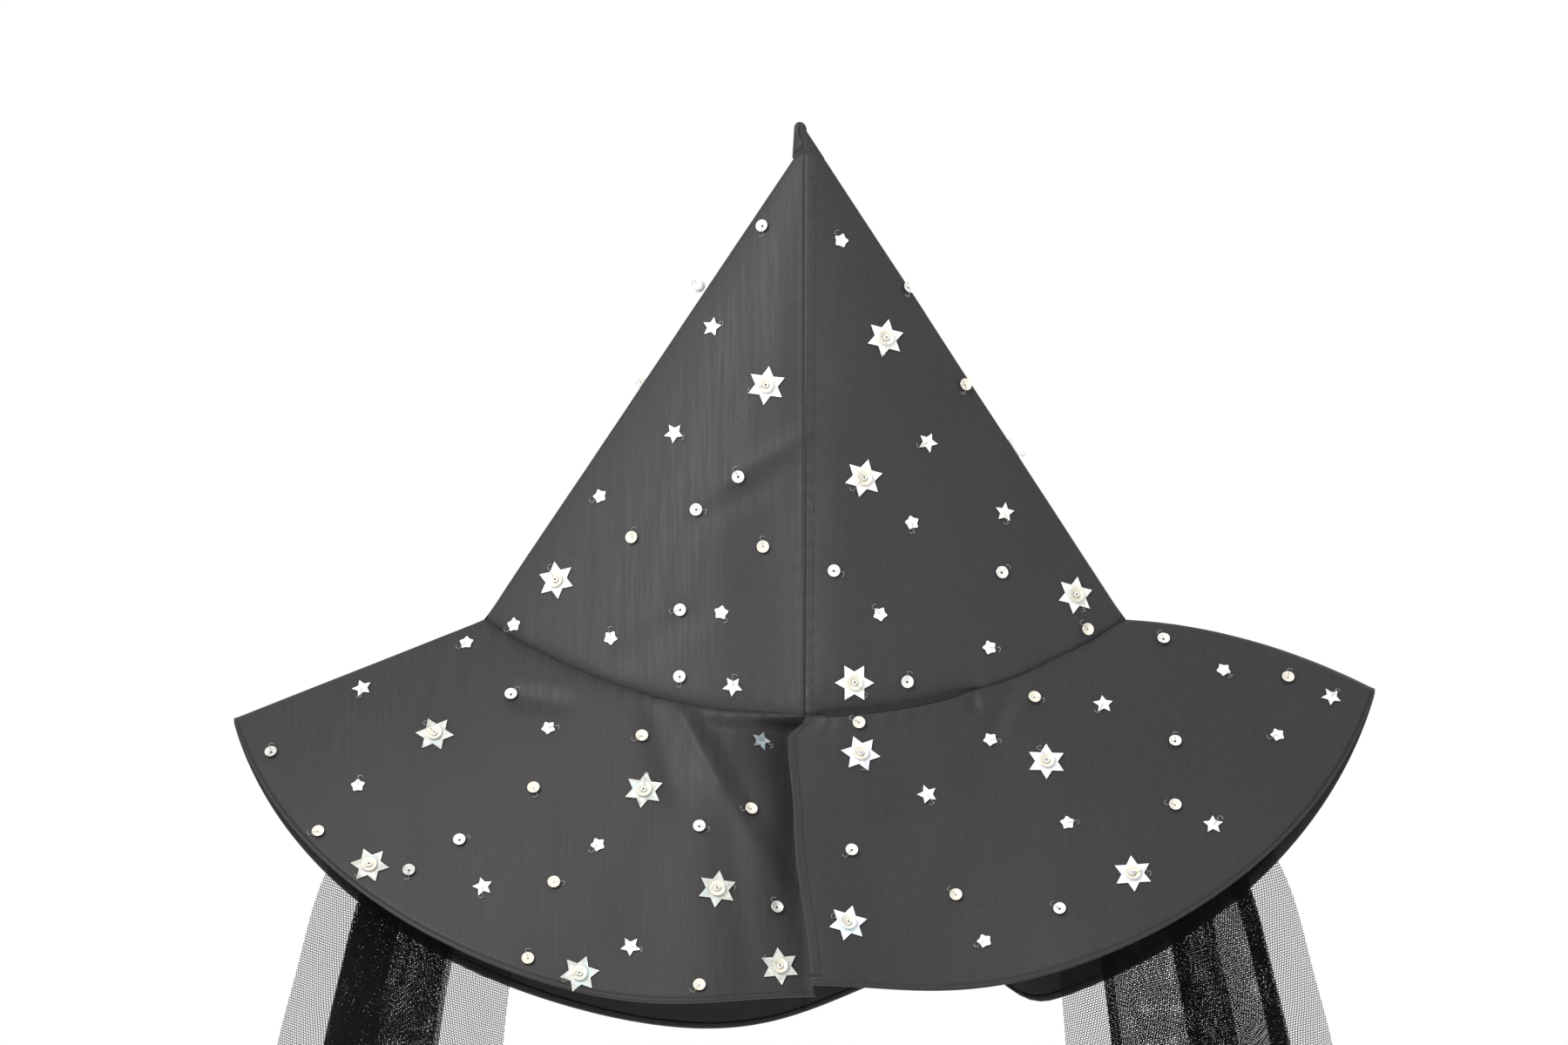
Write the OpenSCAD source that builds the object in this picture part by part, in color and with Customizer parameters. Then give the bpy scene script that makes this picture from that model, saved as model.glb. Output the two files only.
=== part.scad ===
// Soft witch hat: a cloth cone on a wide drooping brim, worn on the head, with two gathered
// bunches of tulle hanging from inside the head opening and star and round sequins sewn on.
// +Z up through the tip, -Y to the front, origin at the centre of the head opening.

/* [Crown] */
// Width of the head opening across the two side creases
head_w = 268; // [225:1:322]
// Depth of the relaxed head opening, front to back
head_d = 88; // [74:1:106]
// Length of the cone from its point to the head seam, along the centre front
crown_slant = 247; // [206:1:296]
// Thickness of the outer cloth, with its turnings
cloth_t = 1.2; // [1:0.1:1.4]
// Thickness of the stiff interlining
stiff_t = 0.8; // [0.6:0.1:1]
// Thickness of the lining and of the under cloth
lining_t = 0.7; // [0.5:0.1:0.8]
// Height of the sweatband inside the head opening
band_h = 24; // [16:1:30]
// Length of the folded-over point
tip_l = 17; // [14:1:19]

/* [Brim] */
// Width of the brim over most of the front
brim_w = 125; // [104:1:150]
// How much wider the brim is at the back, where it hangs lower
back_drop = 12; // [10:1:15]
// Width of the brim along the side creases
side_w = 94; // [78:1:106]
// Depth of the brim at the hem, front to back
hem_d = 180; // [150:1:216]
// Lift of the hem at the centre front
front_lift = 11; // [9:1:13]
// Lift of the wave in the back hem
back_lift = 26; // [21:1:31]
// How far the right front edge stands proud of the left one at the centre fold
fold_step = 6; // [5:0.5:7.2]
// Width of the turned and stitched hem
hem_w = 3; // [2.5:0.1:3.6]

/* [Veil] */
// Length of the tulle below the head opening
veil_l = 420; // [350:5:500]
// Width of each gathered heading
header_w = 58; // [49:1:70]
// Thickness of a bunch at its heading
bunch_t = 9; // [7.5:0.5:10.5]

/* [Sequins] */
// Width of a large star, point to point
large_star_w = 16.5; // [13.8:0.1:19.8]
// Width of a small pointed star
small_star_w = 8.6; // [7.2:0.1:10.3]
// Width of a little blunt star
blunt_star_w = 6.4; // [5.4:0.1:7.7]
// Diameter of the cup on a large star
star_cup_d = 6.4; // [5.4:0.1:7.6]
// Diameter of a round cup sequin
sequin_d = 5; // [4.2:0.1:6]
// Diameter of a seed bead
bead_d = 2.6; // [2.2:0.1:3.1]

/* [Hidden] */

cloth_black = [0.15, 0.145, 0.16];
inside_black = [0.09, 0.09, 0.1];
pearl = [0.93, 0.92, 0.9];
cream = [0.85, 0.8, 0.66];
clear = [0.82, 0.84, 0.82];

front = -1;
back = 1;
left = -1;
right = 1;

gap = 0.2;          // air between two layers of cloth
seam_share = 0.004; // share of the brim left free beside the head seam
tip_share = 0.055;  // share of the cone taken by the folded-over point
crease_run = 1.7;   // how much faster a layer steps in at the side creases than at the front
tip_run = 5.7;      // how much the point of the cone drops for each layer inwards
crease_fan = 11.7;  // how far the side creases of the brim swing out from the cone's, in degrees
crease_skew = 0.7;  // how much further the right crease swings than the left one
side_skew = 4.5;    // how much the left crease is longer, and the right one shorter, than side_w
front_skew = 2.5;   // the same for the width of the front
crease_bow = 3;     // how far the side creases of the brim arch upwards
bow_skew = 3;       // how much more the right crease arches, and how much less the left one

half_w = head_w / 2;
half_d = head_d / 2;
// The cone flattens to a sector, so the head seam is an arc about the point of the cone
side_drop = sqrt(crown_slant * crown_slant - half_w * half_w);
// The origin lies midway between the seam's height at the side creases and at the centre front
tip_z = (crown_slant + side_drop) / 2;
// The opening is a lens of two arcs
lens_r = (half_w * half_w + half_d * half_d) / (2 * half_d);
lens_a = asin(half_w / lens_r);
seam_a = asin(half_w / crown_slant);

// Depth of each layer's outer face below the outer face of the cloth
stiff_at = cloth_t + gap;
lining_at = stiff_at + stiff_t + gap;
band_at = lining_at + lining_t + gap;
band_t = 1.2;
inside_at = band_at + band_t;

// In all that follows, side is front or back, s runs from -1 at the left crease to 1 at the
// right crease, and d is the depth below the outer face of the cloth.

function lens_seam(s) = (cos(s * lens_a) - cos(lens_a)) / (1 - cos(lens_a));
function lens_hem(s) = 1 - pow(abs(s), 2.8);
function seam_x(s) = half_w * sin(s * lens_a) / sin(lens_a);

// Point on the head seam
function seam_p(side, s, d) = [
  seam_x(s) * (half_w - crease_run * d) / half_w,
  side * (half_d - d) * lens_seam(s),
  tip_z - sqrt(crown_slant * crown_slant - seam_x(s) * seam_x(s))];

// Point on the cone, t from 0 at its point to 1 at the head seam
function crown_p(side, s, t, d) =
  let (top = [0, 0, tip_z - tip_run * d])
  top + (seam_p(side, s, d) - top) * t;

// Width of the brim: it narrows to the creases, lifts at the centre front, and has a wave
// in the hem right of the centre back
function crease_w(s) = side_w - sign(s) * side_skew;
function middle_w(side, s) = side == front ? brim_w - sign(s) * front_skew : brim_w + back_drop;
function lift(side, s) = side == front
  ? front_lift * exp(-pow(s / 0.2, 2))
  : back_lift * (s < 0.19 ? exp(-pow((s - 0.19) / 0.21, 2)) : exp(-pow((s - 0.19) / 0.11, 4)));
function narrowing(side, s) = pow(abs(s), (s < 0 ? 5 : 4) - (side == back ? 0.7 : 0));
function brim_width(side, s) =
  middle_w(side, s) - (middle_w(side, s) - crease_w(s)) * narrowing(side, s) - lift(side, s);

// Point on the hem
function hem_a(s) = s * (seam_a + crease_fan + sign(s) * crease_skew);
function hem_r(side, s) = crown_slant + brim_width(side, s);
function crease_x(s) = hem_r(front, sign(s)) * sin(abs(hem_a(sign(s))));
function hem_p(side, s, d) = [
  hem_r(side, s) * sin(hem_a(s)) * (crease_x(s) - crease_run * d) / crease_x(s),
  side * (hem_d / 2 - d) * lens_hem(s),
  tip_z - hem_r(side, s) * cos(hem_a(s))];

// The right front edge stands over the left one at the centre fold
function fold(side, s) = side == back ? 0
  : (s < 0 ? 1 : -0.7) * fold_step * exp(-pow(s / 0.1, 2));

// Point on the brim, v from 0 at the head seam to 1 at the hem
function arch(s, v) = (crease_bow + sign(s) * bow_skew) * 4 * v * (1 - v) * pow(abs(s), 6);
function brim_p(side, s, v, d) =
  seam_p(side, s, d) + (hem_p(side, s, d) - seam_p(side, s, d)) * v
  + [0, fold(side, s) * v, arch(s, v)];

// One row of [side, s] round one half of the hat, left to right as seen from outside
row_n = 11;
seam_s = 0.001; // half the air between the two halves, beside the centre seams
function half_row(hand) =
  let (row = [for (i = [0:2 * row_n])
    i <= row_n ? [front, hand * max(i / row_n, seam_s)] : [back, hand * max(2 - i / row_n, seam_s)]])
  hand == right ? row : [for (i = [len(row) - 1:-1:0]) row[i]];
// One row all the way round
function full_row() = [for (i = [0:4 * row_n - 1])
  i < 2 * row_n ? [front, -1 + i / row_n] : [back, 3 - i / row_n]];

function steps(a, b, n) = [for (k = [0:n]) a + (b - a) * k / n];

// Closed sheet between two grids of points. ring joins the ends of each row.
module sheet(outer, inner, ring = false) {
  rows = len(outer);
  cols = len(outer[0]);
  last = ring ? cols - 1 : cols - 2;
  function at(i, j, k) = k * rows * cols + i * cols + (j % cols);
  function quad(a, b, c, e) = [[a, b, c], [a, c, e]];
  faces = [
    for (i = [0:rows - 2], j = [0:last])
      each quad(at(i, j, 0), at(i, j + 1, 0), at(i + 1, j + 1, 0), at(i + 1, j, 0)),
    for (i = [0:rows - 2], j = [0:last])
      each quad(at(i, j, 1), at(i + 1, j, 1), at(i + 1, j + 1, 1), at(i, j + 1, 1)),
    for (j = [0:last]) each quad(at(0, j, 0), at(0, j, 1), at(0, j + 1, 1), at(0, j + 1, 0)),
    for (j = [0:last])
      each quad(at(rows - 1, j, 0), at(rows - 1, j + 1, 0), at(rows - 1, j + 1, 1), at(rows - 1, j, 1)),
    if (!ring) for (i = [0:rows - 2])
      each quad(at(i, 0, 0), at(i + 1, 0, 0), at(i + 1, 0, 1), at(i, 0, 1)),
    if (!ring) for (i = [0:rows - 2])
      each quad(at(i, last + 1, 0), at(i, last + 1, 1), at(i + 1, last + 1, 1), at(i + 1, last + 1, 0))];
  polyhedron(points = concat([for (r = outer) each r], [for (r = inner) each r]), faces = faces);
}

module crown_sheet(row, t0, t1, n, d0, d1, ring = false) {
  function grid(d) = [for (t = steps(t0, t1, n)) [for (c = row) crown_p(c[0], c[1], t, d)]];
  sheet(grid(d0), grid(d1), ring);
}

module brim_sheet(hand, v0, v1, n, d0, d1) {
  function grid(d) = [for (v = steps(v0, v1, n)) [for (c = half_row(hand)) brim_p(c[0], c[1], v, d)]];
  sheet(grid(d0), grid(d1));
}

// ---- the cone ----

module crown_panel_left() color(cloth_black)
  crown_sheet(half_row(left), tip_share, 1, 5, 0, cloth_t);
module crown_panel_right() color(cloth_black)
  crown_sheet(half_row(right), tip_share, 1, 5, 0, cloth_t);

module crown_stiffener() color(inside_black)
  crown_sheet(full_row(), 0.1, 0.995, 4, stiff_at, stiff_at + stiff_t, true);

module crown_lining() color(inside_black)
  crown_sheet(full_row(), 0.12, 0.99, 4, lining_at, lining_at + lining_t, true);

module sweatband() color(inside_black)
  crown_sheet(full_row(), 1 - band_h / crown_slant, 0.99, 2, band_at, inside_at, true);

// Pressed turnings on the outer face, which run straight down beside the centre seams
seam_w = 3.4;
seam_t = 0.7;
module crown_seam(side, x0, x1) {
  // on the cone at height share t, x to the side of the centre seam
  function p(x, t, out) =
    crown_p(side, x / half_w / t, t, 0) + [0, side * out, 0];
  xs = side == front ? [x0, x1] : [x1, x0];
  function grid(out) = [for (t = steps(0.09, 0.985, 6)) [for (x = xs) p(x, t, out)]];
  sheet(grid(gap + seam_t), grid(gap));
}
module crown_front_seam() color(cloth_black) crown_seam(front, -0.4, seam_w - 0.4);
module crown_back_seam() color(cloth_black) crown_seam(back, -seam_w / 2, seam_w / 2);

// The last stretch of the cone, blunt, with its turning folded down its left side
module crown_tip() {
  neck = crown_slant * tip_share;
  wide = half_w * tip_share;
  deep = half_d * tip_share;
  module stub(x, z, d, y = 0) translate([x, y, tip_z - z]) sphere(d = d, $fn = 20);
  color(cloth_black) hull() {
    for (x = [-1, 1]) stub(x * wide * 0.62, neck * 0.84, deep + 1);
    stub(-wide * 0.46, neck * 0.24, deep);
    stub(wide * 0.2, neck * 0.1, deep);
  }
  color(cloth_black) hull() {
    stub(-wide * 0.42, neck * 0.27, 1.8, -deep * 0.65);
    stub(-wide * 0.5, tip_l, 1.8, -deep - 2.4);
    stub(wide * 0.25, tip_l * 0.84, 1.8, -deep - 2.2);
  }
}

// ---- the brim ----

body_v = 1 - hem_w / brim_w; // where the cloth ends
hem_v = body_v + 0.005;      // where the turned hem begins
module brim_top_left() color(cloth_black)
  brim_sheet(left, seam_share, body_v, 5, 0, cloth_t);
module brim_top_right() color(cloth_black)
  brim_sheet(right, seam_share, body_v, 5, 0, cloth_t);

module brim_stiffener_left() color(inside_black)
  brim_sheet(left, 0.01, body_v, 5, stiff_at, stiff_at + stiff_t);
module brim_stiffener_right() color(inside_black)
  brim_sheet(right, 0.01, body_v, 5, stiff_at, stiff_at + stiff_t);

module brim_under_left() color(cloth_black)
  brim_sheet(left, 0.01, body_v, 5, lining_at, lining_at + lining_t);
module brim_under_right() color(cloth_black)
  brim_sheet(right, 0.01, body_v, 5, lining_at, lining_at + lining_t);

module brim_hem_left() color(cloth_black)
  brim_sheet(left, hem_v, 1, 1, 0, lining_at + lining_t);
module brim_hem_right() color(cloth_black)
  brim_sheet(right, hem_v, 1, 1, 0, lining_at + lining_t);

// Turnings of the radial seams, on the outer face, right of the middle as each side is seen
module brim_seam(side) {
  ss = side == front ? [0.008, 0.03] : [-0.008, -0.03];
  function grid(out) = [for (v = steps(0.03, body_v - 0.01, 5))
    [for (s = ss) brim_p(side, s, v, 0) + [0, side * out, 0]]];
  sheet(grid(gap + seam_t), grid(gap));
}
module brim_front_seam() color(cloth_black) brim_seam(front);
module brim_back_seam() color(cloth_black) brim_seam(back);

// ---- the veil ----

veil_y = 4;        // the bunches hang a little behind the middle of the opening
header_h = 11;
header_x = 50;     // from the centre to the inner end of each heading
header_top = 2;
axis_z = header_top - header_h; // the height about which the bunches swing
swing_gap = 2;     // air between a heading and its bunch
header_gap = 1.6;  // air between a heading and the sweatband
outer_run = 120;   // how far the outer edge of a bunch spreads below the heading
inner_run = 71;    // how far its inner edge follows
inner_skew = 9;    // how much further the left bunch's inner edge goes than the right one's
spread_l = 50;     // the length over which it spreads
swell_t = 13;      // how much thicker it gets

// Gathered heading: a bunch of folds between the swinging top of the tulle and the sweatband
module veil_header(hand) {
  // inner face of the sweatband at the heading's top, x from the middle
  top = tip_z - tip_run * inside_at;
  function seam_z(x) = tip_z - sqrt(crown_slant * crown_slant - x * x);
  function share(x) = min(1, (top - header_top) / (top - seam_z(x)));
  function wall_y(x) = seam_p(back, asin(x / share(x) * sin(lens_a) / half_w) / lens_a, inside_at)[1];
  xs = steps(header_x, header_x + header_w, 6);
  inner = [for (x = xs) [hand * x, veil_y - bunch_t / 2]];
  outer = [for (i = [len(xs) - 1:-1:0]) [hand * xs[i], wall_y(xs[i]) * share(xs[i]) - header_gap]];
  translate([0, 0, axis_z]) linear_extrude(header_h) polygon(concat(inner, outer));
}
module veil_header_left() color(inside_black) veil_header(left);
module veil_header_right() color(inside_black) veil_header(right);

// Swept oval: the whole bunch of tulle with the air that it holds
module veil(hand) {
  sides = 20;
  drop = concat([swing_gap, 14, 30, 50, 75, 105, 140, 200, 280, 360], [veil_l - abs(axis_z)]);
  function run(z) = 1 - exp(-(z - swing_gap) / spread_l);
  function outer_x(z) = header_x + header_w + outer_run * run(z);
  function inner_x(z) = header_x + (inner_run - hand * inner_skew) * run(z);
  function thick(z) = bunch_t + swell_t * (1 - exp(-(z - swing_gap) / 120));
  function mid(z) = (outer_x(z) + inner_x(z)) / 2;
  function half(z) = (outer_x(z) - inner_x(z)) / 2;
  points = [for (z = drop, i = [0:sides - 1]) let (a = -hand * 360 * i / sides)
    [hand * (mid(z) + half(z) * cos(a)), veil_y + thick(z) / 2 * sin(a), axis_z - z]];
  n = len(drop);
  function at(k, i) = k * sides + (i % sides);
  polyhedron(points = points, faces = concat(
    [[for (i = [sides - 1:-1:0]) at(0, i)]],
    [[for (i = [0:sides - 1]) at(n - 1, i)]],
    [for (k = [0:n - 2], i = [0:sides - 1]) [at(k, i), at(k, i + 1), at(k + 1, i)]],
    [for (k = [0:n - 2], i = [0:sides - 1]) [at(k, i + 1), at(k + 1, i + 1), at(k + 1, i)]]));
}
module veil_left() color(inside_black) veil(left);
module veil_right() color(inside_black) veil(right);

// ---- sequins ----

// Where they are sewn: [across, down, turn]. across is percent of the way from the centre to
// the right crease, or to the left one where negative, down is percent of the way down the
// cone or out along the brim, and turn is degrees clockwise from one point upwards.
crown_large = [[61, 39, 31], [-25, 45, 0], [28, 61, 23], [-86, 88, 23], [90, 92, 40], [15, 95, 34]];
crown_small = [[-74, 38, -12], [-69, 57, 18], [63, 58, 44], [82, 74, 34], [-22, 96, 33]];
crown_blunt = [[51, 21, 33], [-87, 72, 25], [45, 70, 0], [-29, 84, 0], [26, 84, 36],
  [-62, 93, 10], [58, 94, 0], [-91, 98, 40]];
crown_pearl = [[-68, 19, 0], [97, 33, 0], [-32, 61, 0], [-47, 68, 0], [11, 76, 0],
  [71, 83, 0], [-43, 85, 0], [-38, 96, 0], [31, 96, 0]];
crown_cream = [[95, 52, 0], [-68, 76, 0], [-17, 72, 0], [88, 98, 0]];
brim_large = [[-80, 44, -12], [-36, 31, -13], [-70, 91, -2], [-16, 61, -3], [-34, 94, 0],
  [-4, 89, -9], [14, 15, -13], [54, 32, 35], [54, 79, 30], [7, 77, 18]];
brim_small = [[-96, 52, -10], [-12, 8, 6], [-54, 78, 27], [-28, 82, 22], [73, 24, 44],
  [96, 85, 36], [27, 31, -4], [69, 80, 43]];
brim_blunt = [[-95, 12, 10], [-63, 22, 5], [-81, 74, 20], [-40, 52, 25], [46, 18, -3],
  [93, 46, 36], [87, 75, 36], [50, 54, 25], [28, 84, -5]];
brim_pearl = [[-76, 18, 0], [-93, 91, 0], [-22, 40, 0], [-62, 68, 0], [-65, 85, 0],
  [-5, 68, 0], [95, 20, 0], [76, 50, 0], [9, 50, 0], [41, 80, 0]];
brim_cream = [[-42, 14, 0], [-57, 42, 0], [-12, 33, 0], [-79, 94, 0], [-44, 68, 0],
  [-42, 94, 0], [-16, 94, 0], [62, 10, 0], [96, 68, 0], [15, 4, 0], [67, 67, 0], [26, 67, 0]];
// Large stars on the back, whose points show past the creases
crown_edge = [[95, 66, 20]];
brim_edge = [[-95, 87, 25], [95, 38, 0]];

sew_gap = 0.7; // from the cloth to the back of a sequin
star_t = 0.8;  // height of a star's middle above its back
rim_t = 0.3;   // thickness of its edge
star_dish = 0.15; // hollow in the middle of its back
film_t = 0.35; // thickness of a cup's wall

// Puts its children on the surface, +Z outwards and +Y up the hat, at each of the places.
// reach is the radius of a child's back, which stands clear of the surface all over.
module on_surface(side, places, brim, reach) {
  function p(s, u) = brim ? brim_p(side, s, u, 0) : crown_p(side, s, u, 0);
  for (place = places) {
    s = place[0] / 100;
    u = place[1] / 100;
    here = p(s, u);
    up = (p(s, u - 0.01) - here) * 100;
    across = (p(s + 0.005, u) - p(s - 0.005, u)) * 100;
    out = side * -1 * cross(across, up);
    n = out / norm(out);
    around = [for (a = [0:30:330])
      p(s + reach * cos(a) / norm(across), u + reach * sin(a) / norm(up)) - here];
    bulge = max(concat([0], [for (q = around) n * q]));
    lean = acos(n[2]);
    spin = atan2(n[1], n[0]);
    // the way that +Y points once it is laid on the surface, measured against up the hat
    lay = [-sin(spin), cos(spin), 0];
    fall = [cos(lean) * cos(spin), cos(lean) * sin(spin), -sin(lean)];
    twist = atan2(up * fall, up * lay);
    translate(here + n * (sew_gap + bulge)) rotate([0, lean, spin]) rotate(-twist - place[2]) children();
  }
}

// The front's places, and on the back the same ones mirrored, with any of its own. A mirrored
// one that would land on a large star at the edge, or where the wave in the back hem is steep,
// is left out.
module sewn(places, brim, reach, extra = []) {
  edge = brim ? brim_edge : crown_edge;
  size = brim ? [half_w + brim_w, brim_w] / 100 : [half_w, crown_slant] / 100;
  function room(p) = min([for (e = edge) norm([(-p[0] - e[0]) * size[0], (p[1] - e[1]) * size[1]])]);
  function steep(p) = brim && abs(p[0] + 30) < 8 && p[1] > 80;
  mirrored = [for (p = places)
    if (room(p) > large_star_w / 2 + reach && !steep(p)) [-p[0], p[1], p[2]]];
  on_surface(front, places, brim, reach) children();
  on_surface(back, concat(mirrored, extra), brim, reach) children();
}

// Ridged star with n points, its points on z = 0 and its back slightly dished
module star(n, width, notch) {
  r = width / 2;
  ring = [for (i = [0:2 * n - 1])
    let (a = 90 + 180 * i / n, q = i % 2 == 0 ? r : r * notch) [q * cos(a), q * sin(a)]];
  m = 2 * n;
  points = concat([for (p = ring) [p[0], p[1], 0]], [for (p = ring) [p[0], p[1], rim_t]],
    [[0, 0, star_t], [0, 0, star_dish]]);
  faces = concat([for (i = [0:m - 1]) [(i + 1) % m, i, 2 * m + 1]],
    [for (i = [0:m - 1]) [i, (i + 1) % m, m + (i + 1) % m, m + i]],
    [for (i = [0:m - 1]) [m + i, m + (i + 1) % m, 2 * m]]);
  polyhedron(points = points, faces = [for (f = faces) [for (i = [len(f) - 1:-1:0]) f[i]]]);
}

// Dished round sequin, its back flat on z = 0
module cup(d) rotate_extrude($fn = 48)
  polygon([[0, 0], [0.28 * d, 0], [0.5 * d, 0.2 * d], [0.5 * d - film_t / 2, 0.2 * d + film_t / 2],
    [0.26 * d, film_t], [0, film_t]]);

knot_d = 1.3;
module knot() translate([0, 0, film_t + knot_d / 2]) sphere(d = knot_d, $fn = 24);

module large_star() star(6, large_star_w, 0.57);
module star_cup() translate([0, 0, star_t]) cup(star_cup_d);
module seed_bead() translate([0, 0, star_t + film_t + bead_d / 2]) sphere(d = bead_d, $fn = 32);
module small_star() star(5, small_star_w, 0.5);
module blunt_star() star(5, blunt_star_w, 0.66);

large_r = large_star_w / 2;
small_r = small_star_w / 2;
blunt_r = blunt_star_w / 2;
sequin_r = sequin_d / 2;

module large_stars_crown() color(pearl) sewn(crown_large, false, large_r, crown_edge) large_star();
module large_stars_brim() color(pearl) sewn(brim_large, true, large_r, brim_edge) large_star();
module star_cups_crown() color(cream) sewn(crown_large, false, large_r, crown_edge) star_cup();
module star_cups_brim() color(cream) sewn(brim_large, true, large_r, brim_edge) star_cup();
module seed_beads_crown() color(clear) sewn(crown_large, false, large_r, crown_edge) seed_bead();
module seed_beads_brim() color(clear) sewn(brim_large, true, large_r, brim_edge) seed_bead();
module small_stars_crown() color(pearl) sewn(crown_small, false, small_r) small_star();
module small_stars_brim() color(pearl) sewn(brim_small, true, small_r) small_star();
module blunt_stars_crown() color(pearl) sewn(crown_blunt, false, blunt_r) blunt_star();
module blunt_stars_brim() color(pearl) sewn(brim_blunt, true, blunt_r) blunt_star();
module pearl_sequins_crown() color(pearl) sewn(crown_pearl, false, sequin_r) cup(sequin_d);
module pearl_sequins_brim() color(pearl) sewn(brim_pearl, true, sequin_r) cup(sequin_d);
module cream_sequins_crown() color(cream) sewn(crown_cream, false, sequin_r) cup(sequin_d);
module cream_sequins_brim() color(cream) sewn(brim_cream, true, sequin_r) cup(sequin_d);
module thread_knots_crown() color(clear)
  sewn(concat(crown_pearl, crown_cream), false, sequin_r) knot();
module thread_knots_brim() color(clear)
  sewn(concat(brim_pearl, brim_cream), true, sequin_r) knot();

crown_panel_left();
crown_panel_right();
crown_stiffener();
crown_lining();
crown_front_seam();
crown_back_seam();
crown_tip();
sweatband();
brim_top_left();
brim_top_right();
brim_stiffener_left();
brim_stiffener_right();
brim_under_left();
brim_under_right();
brim_front_seam();
brim_back_seam();
brim_hem_left();
brim_hem_right();
veil_header_left();
veil_header_right();
veil_left();
veil_right();
large_stars_crown();
large_stars_brim();
star_cups_crown();
star_cups_brim();
seed_beads_crown();
seed_beads_brim();
small_stars_crown();
small_stars_brim();
blunt_stars_crown();
blunt_stars_brim();
pearl_sequins_crown();
pearl_sequins_brim();
cream_sequins_crown();
cream_sequins_brim();
thread_knots_crown();
thread_knots_brim();
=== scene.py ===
import math

import bmesh
import bpy
import numpy as np
from bpy.props import (
    FloatProperty,
    FloatVectorProperty,
    IntProperty,
    PointerProperty,
)
from mathutils import Matrix, Vector, noise
from mathutils.bvhtree import BVHTree


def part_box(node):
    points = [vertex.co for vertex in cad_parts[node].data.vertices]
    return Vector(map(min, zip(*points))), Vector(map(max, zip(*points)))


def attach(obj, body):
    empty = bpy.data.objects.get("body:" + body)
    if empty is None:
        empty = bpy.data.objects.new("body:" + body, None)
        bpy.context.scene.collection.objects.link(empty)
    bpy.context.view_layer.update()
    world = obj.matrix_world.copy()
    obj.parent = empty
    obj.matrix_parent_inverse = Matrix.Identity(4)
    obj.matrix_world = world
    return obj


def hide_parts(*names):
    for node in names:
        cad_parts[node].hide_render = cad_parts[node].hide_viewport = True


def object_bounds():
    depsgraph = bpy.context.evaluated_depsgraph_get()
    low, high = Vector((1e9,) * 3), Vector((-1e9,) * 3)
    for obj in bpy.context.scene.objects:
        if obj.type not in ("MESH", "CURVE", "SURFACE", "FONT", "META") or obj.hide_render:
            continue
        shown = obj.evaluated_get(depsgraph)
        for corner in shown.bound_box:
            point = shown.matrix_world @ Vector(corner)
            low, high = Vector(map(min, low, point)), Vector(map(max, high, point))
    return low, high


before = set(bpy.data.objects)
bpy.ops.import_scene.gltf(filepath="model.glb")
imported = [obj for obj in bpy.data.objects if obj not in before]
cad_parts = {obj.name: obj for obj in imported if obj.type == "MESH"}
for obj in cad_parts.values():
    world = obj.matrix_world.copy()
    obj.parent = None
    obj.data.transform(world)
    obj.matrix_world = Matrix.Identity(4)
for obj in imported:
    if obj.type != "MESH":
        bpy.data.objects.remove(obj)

bl_info = {
    "name": "Witch Hat",
    "version": (1, 0, 0),
    "blender": (4, 5, 0),
    "location": "View3D > Sidebar > Hat",
    "description": "A cloth witch hat with sewn stars and two bunches of tulle",
    "category": "Object",
}

CAD_BOX = [list(corner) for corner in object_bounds()]
FRONT, BACK = -1, 1
LEFT, RIGHT = -1, 1
SIDE_NAME = {LEFT: "left", RIGHT: "right"}

# how much further in a layer turns at the side creases, and starts below the point, for its depth
CREASE_SLOPE, POINT_SLOPE = 1.7, 5.7
# the cone's own point lies this far right of the hat's point and below it
POINT_RIGHT, POINT_BELOW = 0.0018, 0.0047
# share of the cone's slope by which its cloth runs on above its panels, inside the folded point
POINT_OVERLAP = 0.031
# the right half of the brim is narrower at the centre front and at its side crease
FRONT_SKEW, SIDE_SKEW = 0.0025, 0.0045
# how far the brim fans out past the cone at a side crease, and how much more on the right
FAN, FAN_SKEW = math.radians(11.7), math.radians(0.7)
# the cloth's grain, as a turn from upright
CROWN_GRAIN, BRIM_GRAIN = math.radians(33), math.radians(-24)
# how strongly slubs show, from 0 to 1
CROWN_STREAK, BRIM_STREAK, SLUB_STREAK = 0.30, 0.22, 0.85
# a sequin's tint: its cast, or how clear it is
OPAQUE, GREENISH, BLUISH, CLEAR = 0.0, 0.36, 0.68, 1.0
# how far a stitch reaches from the middle of each kind of sequin, and how high it rises
STITCHES = {
    "pearl_sequins": (0.0027, 0.0013),
    "cream_sequins": (0.0027, 0.0013),
    "small_stars": (0.0034, 0.0006),
    "blunt_stars": (0.0029, 0.0006),
    "large_stars": (0.0058, 0.0024),
}
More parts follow.
